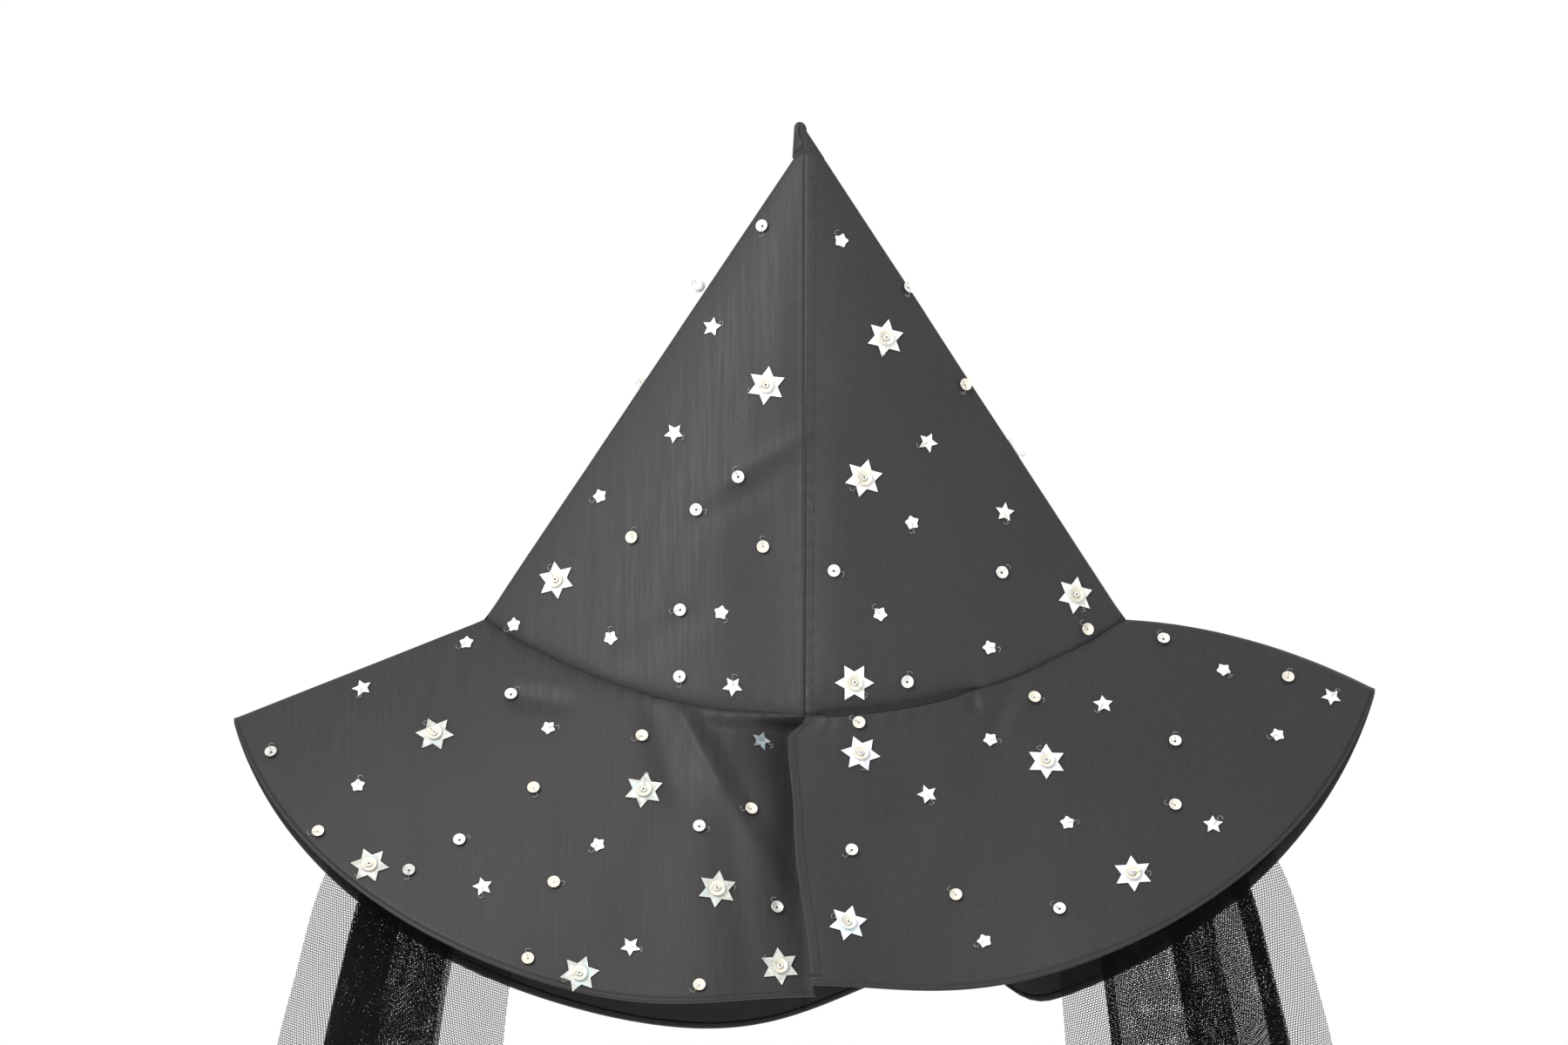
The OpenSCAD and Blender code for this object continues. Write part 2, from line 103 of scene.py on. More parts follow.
# the creases in the cloth: height, start and end as (x, z), and width; a negative height is a hollow
CROWN_CREASES = (
    (0.0007, (-0.030, 0.079), (-0.004, 0.094), 0.004),
    (-0.0005, (-0.046, 0.060), (-0.020, 0.074), 0.005),
    (0.0005, (0.020, 0.118), (0.052, 0.098), 0.006),
    (-0.0006, (-0.076, 0.004), (-0.050, 0.020), 0.006),
    (-0.0016, (0.0695, -0.012), (0.0675, -0.004), 0.0018),
    (-0.0008, (0.082, 0.028), (0.104, 0.004), 0.007),
)
BRIM_CREASES = {
    LEFT: (
        (0.0016, (-0.0495, -0.021), (-0.036, -0.046), 0.0035),
        (-0.0013, (-0.062, -0.022), (-0.055, -0.048), 0.006),
        (-0.0010, (-0.116, -0.0125), (-0.104, -0.0145), 0.0045),
        (0.0002, (-0.115, -0.007), (-0.100, -0.0095), 0.0035),
        (-0.0010, (-0.030, -0.070), (-0.024, -0.125), 0.008),
    ),
    RIGHT: (
        (-0.0018, (0.0695, -0.0125), (0.0700, -0.016), 0.0018),
        (-0.0014, (0.0855, -0.0105), (0.0800, -0.0220), 0.0034),
        (0.0006, (0.092, -0.012), (0.086, -0.024), 0.004),
        (-0.0009, (0.046, -0.060), (0.075, -0.046), 0.012),
    ),
}


# ---- settings ----


def size(name, description, default, low=0.0, high=1.0):
    return FloatProperty(
        name=name, description=description, default=default, min=low, max=high,
        subtype="DISTANCE", unit="LENGTH", precision=5,
    )


def colour(name, description, default):
    return FloatVectorProperty(
        name=name, description=description, default=default, size=3, min=0.0, max=1.0,
        subtype="COLOR",
    )


class HatShape(bpy.types.PropertyGroup):
    brim_width: size("Brim width", "Width of the brim over most of the front", 0.125)
    back_drop: size("Back drop", "How much wider the brim is at the back", 0.012)
    side_width: size("Side width", "Width of the brim along the side creases", 0.094)
    hem_depth: size("Hem depth", "Depth of the brim at the hem, front to back", 0.18)
    front_lift: size("Front lift", "Lift of the hem at the centre front", 0.011)
    back_lift: size("Back lift", "Lift of the wave in the back hem", 0.026)
    fold_step: size("Fold step", "How far the right front edge stands proud", 0.006)
    hem_width: size("Hem width", "Width of the turned hem", 0.003)
    cloth: size("Cloth", "Thickness of the outer cloth with its turnings", 0.0012)
    stiff: size("Interlining", "Thickness of the stiff interlining", 0.0008)
    lining: size("Lining", "Thickness of the lining and of the under cloth", 0.0007)
    ribbon: size("Sweatband", "Thickness of the sweatband", 0.0012)
    band_height: size("Sweatband height", "Height of the sweatband", 0.024)
    gap: size("Air", "Air between two layers", 0.0002)
    crease_round: size("Crease rounding", "How softly the side creases turn", 0.0007)
    pocket: size("Pocket", "Depth of the pocket left of the centre fold", 0.0085)
    swell: size("Swell", "Height of the slow waves in the cloth", 0.0007)
    pucker: size("Pucker", "Height of the puckers along the seams", 0.00016)
    columns: IntProperty(
        name="Columns", description="Faces from the centre to a side crease",
        default=100, min=20, max=160,
    )
    rows: IntProperty(
        name="Rows", description="Faces from the head seam to the hem",
        default=62, min=16, max=120,
    )


class HatCloths(bpy.types.PropertyGroup):
    crown: colour("Crown cloth", "Colour of the outer cloth of the cone", (0.0225, 0.0210, 0.0240))
    brim: colour("Brim cloth", "Colour of the cloth of the right brim", (0.0205, 0.0193, 0.0205))
    slub: colour("Slubbed cloth", "Colour of the cloth of the left brim", (0.0200, 0.0183, 0.0180))
    # near black: partly the under cloth's own dark colour, partly painted shade inside the brim
    under: colour("Under cloth", "Colour of the under cloth and hem lining", (0.0035, 0.0032, 0.0030))
    stiffener: colour("Interlining", "Colour of the interlining", (0.02, 0.02, 0.02))
    lining: colour("Lining", "Colour of the lining of the cone", (0.015, 0.0148, 0.016))
    ribbon: colour("Ribbon", "Colour of the sweatband", (0.018, 0.018, 0.020))
    tulle: colour("Tulle", "Colour of the net's thread", (0.003, 0.003, 0.003))
    thread: size("Thread", "Distance between two threads of the weave", 0.00042)
    net: size("Net", "Distance between two holes of the net", 0.0011)
    strand: size("Strand", "Width of a strand of the net", 0.00031)


class HatSequins(bpy.types.PropertyGroup):
    pearl: colour("Pearl", "Colour of the opaque stars and sequins", (0.60, 0.595, 0.565))
    green: colour("Greenish", "Colour of the stars on the left brim", (0.36, 0.37, 0.335))
    blue: colour("Bluish", "Colour of the stars on the right brim", (0.56, 0.565, 0.63))
    clear: colour("Clear", "Colour of the clear stars", (0.10, 0.115, 0.135))
    cream: colour("Cream", "Colour of the cream cups", (0.56, 0.53, 0.44))
    bead: colour("Bead", "Colour of the seed beads", (0.72, 0.71, 0.66))
    lift: size("Lift", "Air between the cloth and the back of a sequin", 0.0004)
    film: size("Film", "Thickness of a sequin", 0.00035)
    notch: FloatProperty(
        name="Notch", description="Inner to outer radius of a large star",
        default=0.57, min=0.3, max=0.9,
    )
    hole: size("Hole", "Diameter of the hole in a cup", 0.0011)
    wisp: size("Wisp", "Diameter of the clear sewing thread", 0.00022)


class HatVeil(bpy.types.PropertyGroup):
    rows: IntProperty(name="Rows", description="Faces down the veil", default=90, min=20, max=200)
    step: size("Step", "Distance between two columns of the net's mesh", 0.0022)
    drift: FloatProperty(
        name="Drift", description="How far the folds wander on their way down",
        default=0.03, min=0.0, max=0.1,
    )
    ripple: size("Ripple", "Height of the small ripples", 0.0006)


class HatStage(bpy.types.PropertyGroup):
    distance: size("Distance", "Distance of the camera", 12.0, 0.5, 60.0)
    view_width: size("View width", "Width of the view at the hat", 0.6534, 0.1, 3.0)
    across: size("Across", "Camera's place to the right of the hat's middle", -0.0087, -1.0, 1.0)
    height: size("Height", "Height of the camera", 0.0602, -1.0, 2.0)
    floor: size("Floor", "Radius of the floor", 2.2, 0.5, 5.0)
    floor_colour: colour("Floor colour", "Colour of the floor", (0.86, 0.86, 0.86))


GROUPS = (
    ("hat_shape", HatShape),
    ("hat_cloths", HatCloths),
    ("hat_sequins", HatSequins),
    ("hat_veil", HatVeil),
    ("hat_stage", HatStage),
)


# ---- materials ----


class Wire:
    """A node's output, on which arithmetic adds Math nodes."""

    def __init__(self, shader, socket):
        self.shader, self.socket = shader, socket

    def maths(self, operation, *values):
        return self.shader.node("Math", {"operation": operation}, dict(enumerate(values)))

    def __add__(self, other):
        return self.maths("ADD", self, other)

    def __sub__(self, other):
        return self.maths("SUBTRACT", self, other)

    def __rsub__(self, other):
        return self.maths("SUBTRACT", other, self)

    def __mul__(self, other):
        return self.maths("MULTIPLY", self, other)

    def __truediv__(self, other):
        return self.maths("DIVIDE", self, other)

    def __mod__(self, other):
        return self.maths("FLOORED_MODULO", self, other)

    def __lt__(self, other):
        return self.maths("LESS_THAN", self, other)

    def __gt__(self, other):
        return self.maths("GREATER_THAN", self, other)

    def __abs__(self):
        return self.maths("ABSOLUTE", self)

    __radd__, __rmul__ = __add__, __mul__


class Finish:
    """A material, and the nodes that lead to its Principled BSDF."""

    def __init__(self, name):
        self.material = bpy.data.materials.new(name)
        self.material.use_nodes = True
        self.tree = self.material.node_tree
        self.tree.nodes.clear()

    def node(self, kind, settings=None, values=None, output=0):
        node = self.tree.nodes.new("ShaderNode" + kind)
        for key, value in (settings or {}).items():
            setattr(node, key, value)
        for key, value in (values or {}).items():
            if isinstance(value, Wire):
                self.tree.links.new(value.socket, node.inputs[key])
            else:
                node.inputs[key].default_value = value
        return Wire(self, node.outputs[output]) if len(node.outputs) else None

    def place(self, scale=(1, 1, 1), turn=(0, 0, 0), uv=False):
        """Object or UV coordinates, stretched and turned."""
        here = self.node("TexCoord", output=2 if uv else 3)
        return self.node(
            "Mapping", values={"Vector": here, "Scale": scale, "Rotation": turn}
        )

    def grain(self, place, detail=2.0, rough=0.5, output=0):
        return self.node(
            "TexNoise", {"noise_dimensions": "3D"},
            {"Vector": place, "Scale": 1.0, "Detail": detail, "Roughness": rough}, output,
        )

    def range(self, value, low, high, start=0.0, end=1.0):
        return self.node(
            "MapRange", {"interpolation_type": "SMOOTHSTEP"},
            {"Value": value, "From Min": low, "From Max": high, "To Min": start, "To Max": end},
        )

    def blend(self, factor, a, b):
        values = {0: factor, 6: a, 7: b}
        return self.node("Mix", {"data_type": "RGBA"}, values, output=2)

    def split(self, place):
        node = self.node("SeparateXYZ", values={"Vector": place}).socket.node
        return [Wire(self, out) for out in node.outputs]

    def bump(self, height, distance, strength=1.0):
        return self.node(
            "Bump", values={"Height": height, "Distance": distance, "Strength": strength}
        )

    def surface(self, **values):
        """The Principled BSDF, with its sockets named in words joined by underscores."""
        names = {key: key.replace("_", " ") for key in values}
        names["Specular_IOR_Level"] = "Specular IOR Level"
        shader = self.node(
            "BsdfPrincipled", values={names[key]: value for key, value in values.items()}
        )
        self.node("OutputMaterial", values={"Surface": shader})
        return self.material


def shade(tone, factor):
    return tuple(c * factor for c in tone) + (1.0,)


def satin(name, tone, pitch, streak, turn=0.0, rough=0.5, sheen=0.07):
    """Close satin cotton: fine threads, a slub along the grain, and slow changes of tone."""
    f = Finish(name)
    threads = f.grain(f.place((1 / pitch, 60, 0.2 / pitch), (0, turn, 0)), 1.0)
    weft = f.grain(f.place((0.25 / pitch, 60, 1 / pitch), (0, turn, 0)), 1.0)
    slub = f.grain(f.place((1100, 30, 45), (0, turn, 0)), 3.0, 0.6)
    long_slub = f.grain(f.place((420, 30, 16), (0, turn, 0)), 2.0, 0.6)
    patch = f.grain(f.place((14, 14, 14)), 2.0)
    weave = threads * 0.5 + weft * 0.5
    slubs = slub * 0.6 + long_slub * 0.4
    light = f.range(weave * (1 - streak) + slubs * streak, 0.36, 0.64)
    cloth = f.blend(light, shade(tone, 0.80), shade(tone, 1.20))
    worn = f.blend(f.range(patch, 0.3, 0.7), shade(tone, 0.88), shade(tone, 1.10))
    both = f.blend(0.35, cloth, worn)
    relief = weave * 0.6 + slubs * (0.4 + streak)
    return f.surface(
        Base_Color=both,
        Roughness=f.range(slubs, 0.3, 0.7, rough - 0.06, rough + 0.08),
        Normal=f.bump(relief, 0.00018, 0.55),
        Sheen_Weight=sheen,
        Sheen_Roughness=0.45,
        Specular_IOR_Level=0.22,
    )


def plain_cloth(name, tone, pitch, rough=0.75, sheen=0.05):
    """Thin plain-woven cloth: warp and weft threads over and under each other."""
    f = Finish(name)
    x, _, z = f.split(f.place((1 / pitch, 1, 1 / pitch)))
    over = abs(x % 2 - 1)
    under = abs(z % 2 - 1)
    fuzz = f.grain(f.place((900, 900, 900)), 3.0, 0.6)
    patch = f.grain(f.place((22, 22, 22)), 2.0)
    weave = over * 0.35 + under * 0.35 + fuzz * 0.3
    tint = f.blend(f.range(weave * 0.7 + patch * 0.3, 0.3, 0.7), shade(tone, 0.75), shade(tone, 1.3))
    return f.surface(
        Base_Color=tint,
        Roughness=f.range(fuzz, 0.3, 0.7, rough - 0.05, rough + 0.05),
        Normal=f.bump(weave, 0.00015, 0.5),
        Sheen_Weight=sheen,
        Specular_IOR_Level=0.2,
    )


def grosgrain(name, tone):
    """Ribbon with ribs across it, which run up the band."""
    f = Finish(name)
    along, up, _ = f.split(f.place((1, 1, 1), uv=True))
    rib = abs((along / 0.0011) % 1 - 0.5) * 2
    edge = f.range(abs(up / 0.0235 - 0.5), 0.44, 0.48)
    fuzz = f.grain(f.place((700, 700, 700)), 2.0)
    tint = f.blend(rib * 0.6 + fuzz * 0.4, shade(tone, 0.7), shade(tone, 1.5))
    return f.surface(
        Base_Color=f.blend(edge, tint, shade(tone, 0.8)),
        Roughness=f.range(fuzz, 0.3, 0.7, 0.42, 0.56),
        Normal=f.bump(rib * 0.8 + fuzz * 0.2, 0.0003, 0.8),
        Specular_IOR_Level=0.4,
    )


def net(name, tone, pitch, strand):
    """Six-sided net of fine strands, from the veil's own UV map in metres."""
    f = Finish(name)
    tall = math.sqrt(3)
    u, v, _ = f.split(f.place((1 / pitch, 1 / pitch, 1), (0, 0, math.radians(15)), uv=True))
    near_x, near_y = abs(u % 1 - 0.5), abs(v % tall - tall / 2)
    far_x, far_y = abs((u - 0.5) % 1 - 0.5), abs((v - tall / 2) % tall - tall / 2)
    closer = (near_x * near_x + near_y * near_y) < (far_x * far_x + far_y * far_y)
    x = closer * near_x + (1 - closer) * far_x
    y = closer * near_y + (1 - closer) * far_y
    edge = (x * 0.5 + y * (tall / 2)).maths("MAXIMUM", x * 0.5 + y * (tall / 2), x)
    strands = edge > 0.5 - strand / pitch / 2
    uneven = f.grain(f.place((260, 260, 260), uv=True), 2.0)
    return f.surface(
        Base_Color=f.blend(uneven, shade(tone, 0.6), shade(tone, 2.2)),
        Roughness=f.range(uneven, 0.3, 0.7, 0.7, 0.85),
        Alpha=strands,
        Specular_IOR_Level=0.08,
    )


def pearl(name, tones, rough=0.22):
    """Pearly film. The tint attribute leads from opaque through two casts to clear."""
    f = Finish(name)
    tint = f.node("Attribute", {"attribute_name": "tint"}, output=2)
    cloud = f.grain(f.place((330, 330, 330)), 3.0, 0.55)
    drift = f.grain(f.place((90, 90, 90)), 2.0)
    base = f.blend(f.range(tint, 0.05, 0.33), tones[0], tones[1])
    base = f.blend(f.range(tint, 0.4, 0.66), base, tones[2])
    base = f.blend(f.range(tint, 0.75, 0.98), base, tones[3])
    milky = f.blend(f.range(cloud, 0.35, 0.7, 0.0, 0.3), base, (0.80, 0.80, 0.77, 1))
    # painted iridescent sheen: cyan and pink patches, placed at random, painted into the colour of the
    # tinted films
    cast = f.range(drift, 0.54, 0.7) * f.range(tint, 0.02, 0.3, 0.03, 0.32)
    painted_cyan_sheen = f.blend(cast, milky, (0.34, 0.56, 0.58, 1))
    painted_pink_sheen = f.range(1 - drift, 0.56, 0.7) * f.range(tint, 0.02, 0.3, 0.03, 0.16)
    return f.surface(
        Base_Color=f.blend(painted_pink_sheen, painted_cyan_sheen, (0.66, 0.55, 0.62, 1)),
        Roughness=f.range(cloud, 0.3, 0.7, rough - 0.06, rough + 0.1),
        Normal=f.bump(cloud, 0.00006, 0.4),
        Coat_Weight=0.5,
        Coat_Roughness=0.08,
    )


def glass_bead(name, tone):
    """Clear seed bead, its tone changing in small random clouds between darker and brighter."""
    f = Finish(name)
    cloud = f.grain(f.place((1500, 1500, 1500)), 2.0)
    tint = f.blend(f.range(cloud, 0.4, 0.62), shade(tone, 0.45), shade(tone, 1.25))
    return f.surface(
        Base_Color=tint,
        Roughness=f.range(cloud, 0.3, 0.7, 0.05, 0.14),
        Specular_IOR_Level=0.8,
        Coat_Weight=0.8,
        Coat_Roughness=0.03,
    )


def clear_thread(name):
    """Clear sewing thread, which shows as a thin pale line."""
    f = Finish(name)
    cloud = f.grain(f.place((2500, 2500, 2500)), 2.0)
    return f.surface(
        Base_Color=f.blend(cloud, (0.10, 0.10, 0.10, 1), (0.55, 0.55, 0.52, 1)),
        Roughness=f.range(cloud, 0.3, 0.7, 0.2, 0.35),
        Alpha=f.range(cloud, 0.3, 0.6, 0.45, 0.85),
        Specular_IOR_Level=0.6,
    )


def studio_floor(name, tone):
    f = Finish(name)
    dust = f.grain(f.place((9, 9, 9)), 4.0)
    return f.surface(
        Base_Color=f.blend(dust, shade(tone, 0.97), shade(tone, 1.0)),
        Roughness=f.range(dust, 0.3, 0.7, 0.62, 0.7),
        Specular_IOR_Level=0.2,
    )


# ---- the surface of the hat ----


def smooth(value, low, high):
    share = min(1.0, max(0.0, (value - low) / (high - low)))
    return share * share * (3 - 2 * share)


def bell(value, width):
    return math.exp(-((value / width) ** 2))


def crease(x, z, start, end, width):
    """How near a point is to a line on the cloth, 1 on it, fading off its ends."""
    (x0, z0), (x1, z1) = start, end
    length = math.hypot(x1 - x0, z1 - z0)
    along = ((x - x0) * (x1 - x0) + (z - z0) * (z1 - z0)) / length
    off = ((x - x0) * (z1 - z0) - (z - z0) * (x1 - x0)) / length
    past = max(0.0, -along, along - length)
    return bell(off, width) * bell(past, width * 1.6)


def creased(x, z, creases):
    return sum(height * crease(x, z, start, end, width) for height, start, end, width in creases)


def sign_of(value):
    return (value > 0) - (value < 0)


class Hat:
    """The hat's surface. side is FRONT or BACK, s runs from -1 at the left crease to 1 at the
    right one, and d is the depth below the outer face of the cloth."""

    def __init__(self):
        self.set = bpy.context.scene.hat_shape
        low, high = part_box("crown_panel_left")[0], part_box("crown_panel_right")[1]
        self.half_w, self.half_d = high[0], high[1]
        bow = -2 * low[2]
        self.slant = (self.half_w**2 + bow**2) / (2 * bow)
        self.tip_z = self.slant + low[2]
        self.lens_r = (self.half_w**2 + self.half_d**2) / (2 * self.half_d)
        self.lens_a = math.asin(self.half_w / self.lens_r)
        self.seam_a = math.asin(self.half_w / self.slant)
        s = self.set
        self.stiff_at = s.cloth + s.gap
        self.lining_at = self.stiff_at + s.stiff + s.gap
        self.band_at = self.lining_at + s.lining + s.gap
        self.inside_at = self.band_at + s.ribbon
        self.tip_share = (self.tip_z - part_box("crown_panel_left")[1][2]) / self.slant
        self.body_v = 1 - s.hem_width / s.brim_width
        self.hem_v = self.body_v + 0.005

    def seam_x(self, s):
        return self.half_w * math.sin(s * self.lens_a) / math.sin(self.lens_a)

    def seam(self, side, s, d):
        low = math.cos(self.lens_a)
        lens = (math.cos(s * self.lens_a) - low) / (1 - low)
        x = self.seam_x(s)
        return Vector((
            x * (self.half_w - CREASE_SLOPE * d) / self.half_w,
            side * (self.half_d - d) * lens,
            self.tip_z - math.sqrt(self.slant**2 - x * x),
        ))

    def hem(self, side, s, d):
        c = self.set
        sign = sign_of(s)
        middle = c.brim_width - sign * FRONT_SKEW if side == FRONT else c.brim_width + c.back_drop
        if side == FRONT:
            lift = c.front_lift * bell(s, 0.2)
        else:
            lift = c.back_lift * (
                bell(s - 0.19, 0.21) if s < 0.19 else math.exp(-(((s - 0.19) / 0.11) ** 4))
            )
        narrowing = abs(s) ** ((5 if s < 0 else 4) - (0.7 if side == BACK else 0))
        width = middle - (middle - c.side_width + sign * SIDE_SKEW) * narrowing - lift
        reach = self.slant + width
        angle = self.hem_angle(s)
        crease_reach = self.slant + c.side_width - sign * SIDE_SKEW
        crease_x = crease_reach * math.sin(abs(self.hem_angle(sign or 1)))
        return Vector((
            reach * math.sin(angle) * (crease_x - CREASE_SLOPE * d) / crease_x,
            side * (c.hem_depth / 2 - d) * (1 - abs(s) ** 2.8),
            self.tip_z - reach * math.cos(angle),
        ))

    def hem_angle(self, s):
        return s * (self.seam_a + FAN + sign_of(s) * FAN_SKEW)

    def round_crease(self, p, s, steep):
        """Draws the edge of a side crease in, so that the fold turns over softly."""
        e = self.set.crease_round
        q = abs(p.y) / steep
        p.x -= math.copysign(math.sqrt(q * q + e * e) - q, s)
        return p

    def waves(self, side, x, z):
        """Slow waves of the whole cloth."""
        c = self.set.swell
        slow = noise.noise(Vector((x * 17, z * 13, side * 3.7)))
        quick = noise.noise(Vector((x * 41, z * 29, side * 8.1 + 5)))
        return c * (1.5 * slow + 0.55 * quick)

    def puckers(self, at, close, slow):
        """Small puckers in a row, close of them to the metre, their spacing slowly changing."""
        return self.set.pucker * math.sin(at * close + 2 * math.sin(at * slow))

    def gather_gap(self, side, s):
        """Where the brim's edge stands off the cone, right of the centre front."""
        return 0 if side == BACK else smooth(s, 0.012, 0.07) * (1 - smooth(s, 0.44, 0.545))

    def crown(self, side, s, t, d, flat=False):
        top = Vector((POINT_RIGHT, 0, self.tip_z - POINT_BELOW - POINT_SLOPE * d))
        p = top + (self.seam(side, s, d) - top) * t
        if flat:
            return p
        x, z = p.x, p.z
        edge = (1 - t) * self.slant
        out = self.waves(side, x, z) * smooth(t, 0.06, 0.3) * (1 - 0.6 * abs(s) ** 6)
        # the head seam draws both edges in, and more so at the gap
        out -= 0.0010 * math.exp(-edge / 0.0022)
        out -= 0.0034 * self.gather_gap(side, s) * math.exp(-edge / 0.0045)
        out += self.puckers(x, 950, 130) * math.exp(-edge / 0.007)
        # puckers and a soft hollow beside the centre seams
        off = abs(x)
        out += 0.8 * self.puckers(z, 780, 95) * bell(off, 0.006)
        out -= 0.0003 * bell(off, 0.0005)
        if side == FRONT:
            out += 0.0002 * bell(x + 0.0013, 0.0008)
            out -= 0.0016 * bell(x + 0.016, 0.017) * smooth(t, 0.35, 0.8)
            out += 0.0006 * bell(x - 0.012, 0.012) * smooth(t, 0.3, 0.8)
            out += creased(x, z, CROWN_CREASES)
        p.y += side * out
        return self.round_crease(p, s, 1.0) if abs(s) > 0.6 else p

    def edge_shift(self, side, s, v):
        """How the two front edges cross at the centre fold."""
        if side == BACK:
            return 0
        if s > 0:
            path = -0.0072 * smooth(v, 0.015, 0.085) + 0.0025 * smooth(v, 0.085, 0.4)
            return (path + 0.0067 * smooth(v, 0.4, 1.0)) * bell(s, 0.06)
        return 0.0045 * smooth(v, 0.5, 0.9) * bell(s, 0.05)

    def brim(self, side, s, v, d, flat=False):
        c = self.set
        a = self.seam(side, s, d)
        p = a + (self.hem(side, s, d) - a) * v
        if side == FRONT:
            p.y += (1 if s < 0 else -0.7) * c.fold_step * bell(s, 0.1) * v
        # the edge of the right crease bows up between the head seam and the hem
        p.z += (0.003 + sign_of(s) * 0.003) * 4 * v * (1 - v) * abs(s) ** 6
        if flat:
            return p
        x, z = p.x, p.z
        edge = v * c.brim_width
        rim = (1 - v) * c.brim_width
        out = self.waves(side + 0.4, x, z) * smooth(v, 0.0, 0.2) * (1 - 0.6 * abs(s) ** 6)
        out -= 0.0011 * math.exp(-edge / 0.0018)
        out += 1.2 * self.puckers(x, 830, 110) * math.exp(-edge / 0.009)
        out += c.pucker * 0.7 * math.sin(x * 600) * math.exp(-rim / 0.006)
        if side == FRONT and s < 0:
            # the pocket beside the centre fold, which narrows and grows shallow on its way down
            wide = 0.0150 - 0.006 * smooth(v, 0.10, 0.30)
            shallow = 0.45 * smooth(v, 0.12, 0.3) + 0.35 * smooth(v, 0.4, 0.9)
            out -= c.pocket * bell(x + 0.004, wide) * smooth(v, 0.0, 0.045) * (1 - shallow)
            # the pleat's edge, and the hollow to the right of it
            line = -0.050 + 0.55 * max(0.0, -0.019 - z)
            hollow = smooth(x - line, -0.001, 0.009) * smooth(v, 0.008, 0.07)
            out -= 0.0030 * hollow * (1 - smooth(v, 0.35, 0.75))
            out += creased(x, z, BRIM_CREASES[LEFT])
        elif side == FRONT:
            gap = self.gather_gap(side, s)
            out += gap * (0.0016 * math.exp(-edge / 0.006) + 0.0011 * math.exp(-edge / 0.0018))
            p.z -= 0.0012 * gap * math.exp(-edge / 0.004)
            out += 0.0012 * bell(x, 0.018) * smooth(v, 0.03, 0.15)
            shift = self.edge_shift(side, s, v)
            out -= 0.0010 * bell(x + 0.004 - shift, 0.0016) * smooth(v, 0.05, 0.12)
            out += creased(x, z, BRIM_CREASES[RIGHT])
        p.y += side * out
        p.x += self.edge_shift(side, s, v)
        return self.round_crease(p, s, 1.15) if abs(s) > 0.6 else p


def spread(count):
    """Shares from 0 to 1, closer together at both ends."""
    steps = [i / count for i in range(count + 1)]
    return [t - 0.4 * math.sin(2 * math.pi * t) / (2 * math.pi) for t in steps]


def half_row(hand, count):
    """Places round one half of the hat, left to right as seen from outside."""
    out = [max(t, 0.0001) for t in spread(count)]
    row = [(FRONT, hand * s) for s in out] + [(BACK, hand * s) for s in out[-2:0:-1]]
    # the halves are sewn together at the back, one a hair over the other
    row.append((BACK, -hand * 0.0006))
    return row if hand == RIGHT else row[::-1]


def full_row(count):
    out = spread(count)
    across = [-s for s in out[:0:-1]] + out
    return [(FRONT, s) for s in across] + [(BACK, s) for s in across[-2:0:-1]]


def levels(low, high, count, power=1.0):
    return [low + (high - low) * (i / count) ** power for i in range(count + 1)]


# ---- making meshes ----


def choose(*pieces):
    bpy.ops.object.select_all(action="DESELECT")
    for piece in pieces:
        piece.select_set(True)
    bpy.context.view_layer.objects.active = pieces[0]


def new_piece(name, bm, finish, body="hat", stands_for=()):
    mesh = bpy.data.meshes.new(name)
    bm.to_mesh(mesh)
    bm.free()
    mesh.shade_smooth()
    piece = bpy.data.objects.new(name, mesh)
    bpy.context.scene.collection.objects.link(piece)
    return settle(piece, finish, body, stands_for)


def settle(piece, finish, body="hat", stands_for=()):
    piece.data.materials.clear()
    piece.data.materials.append(finish)
    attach(piece, body)
    if stands_for:
        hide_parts(*stands_for)
    return piece


def grid_area(grid, ring=False):
    """Area, width of the last row and length of the middle column of a grid of points."""
    area = 0.0
    for upper, lower in zip(grid, grid[1:]):
        ends = list(zip(upper, upper[1:])) + ([(upper[-1], upper[0])] if ring else [])
        feet = list(zip(lower, lower[1:])) + ([(lower[-1], lower[0])] if ring else [])
        for (a, b), (c, e) in zip(ends, feet):
            area += ((b - a).cross(c - a).length + (e - b).cross(e - c).length) / 2
    last = grid[-1]
    width = sum((b - a).length for a, b in zip(last, last[1:]))
    if ring:
        width += (last[0] - last[-1]).length
    middle = [row[len(row) // 4] for row in grid]
    return area, width, sum((b - a).length for a, b in zip(middle, middle[1:]))


def skin(bm, rings):
    """Faces between rings of points, with a cap at each end."""
    count = len(rings[0])
    for a, b in zip(rings, rings[1:]):
        for k in range(count):
            bm.faces.new([a[k], a[(k + 1) % count], b[(k + 1) % count], b[k]])
    bm.faces.new(rings[0][::-1])
    bm.faces.new(rings[-1])


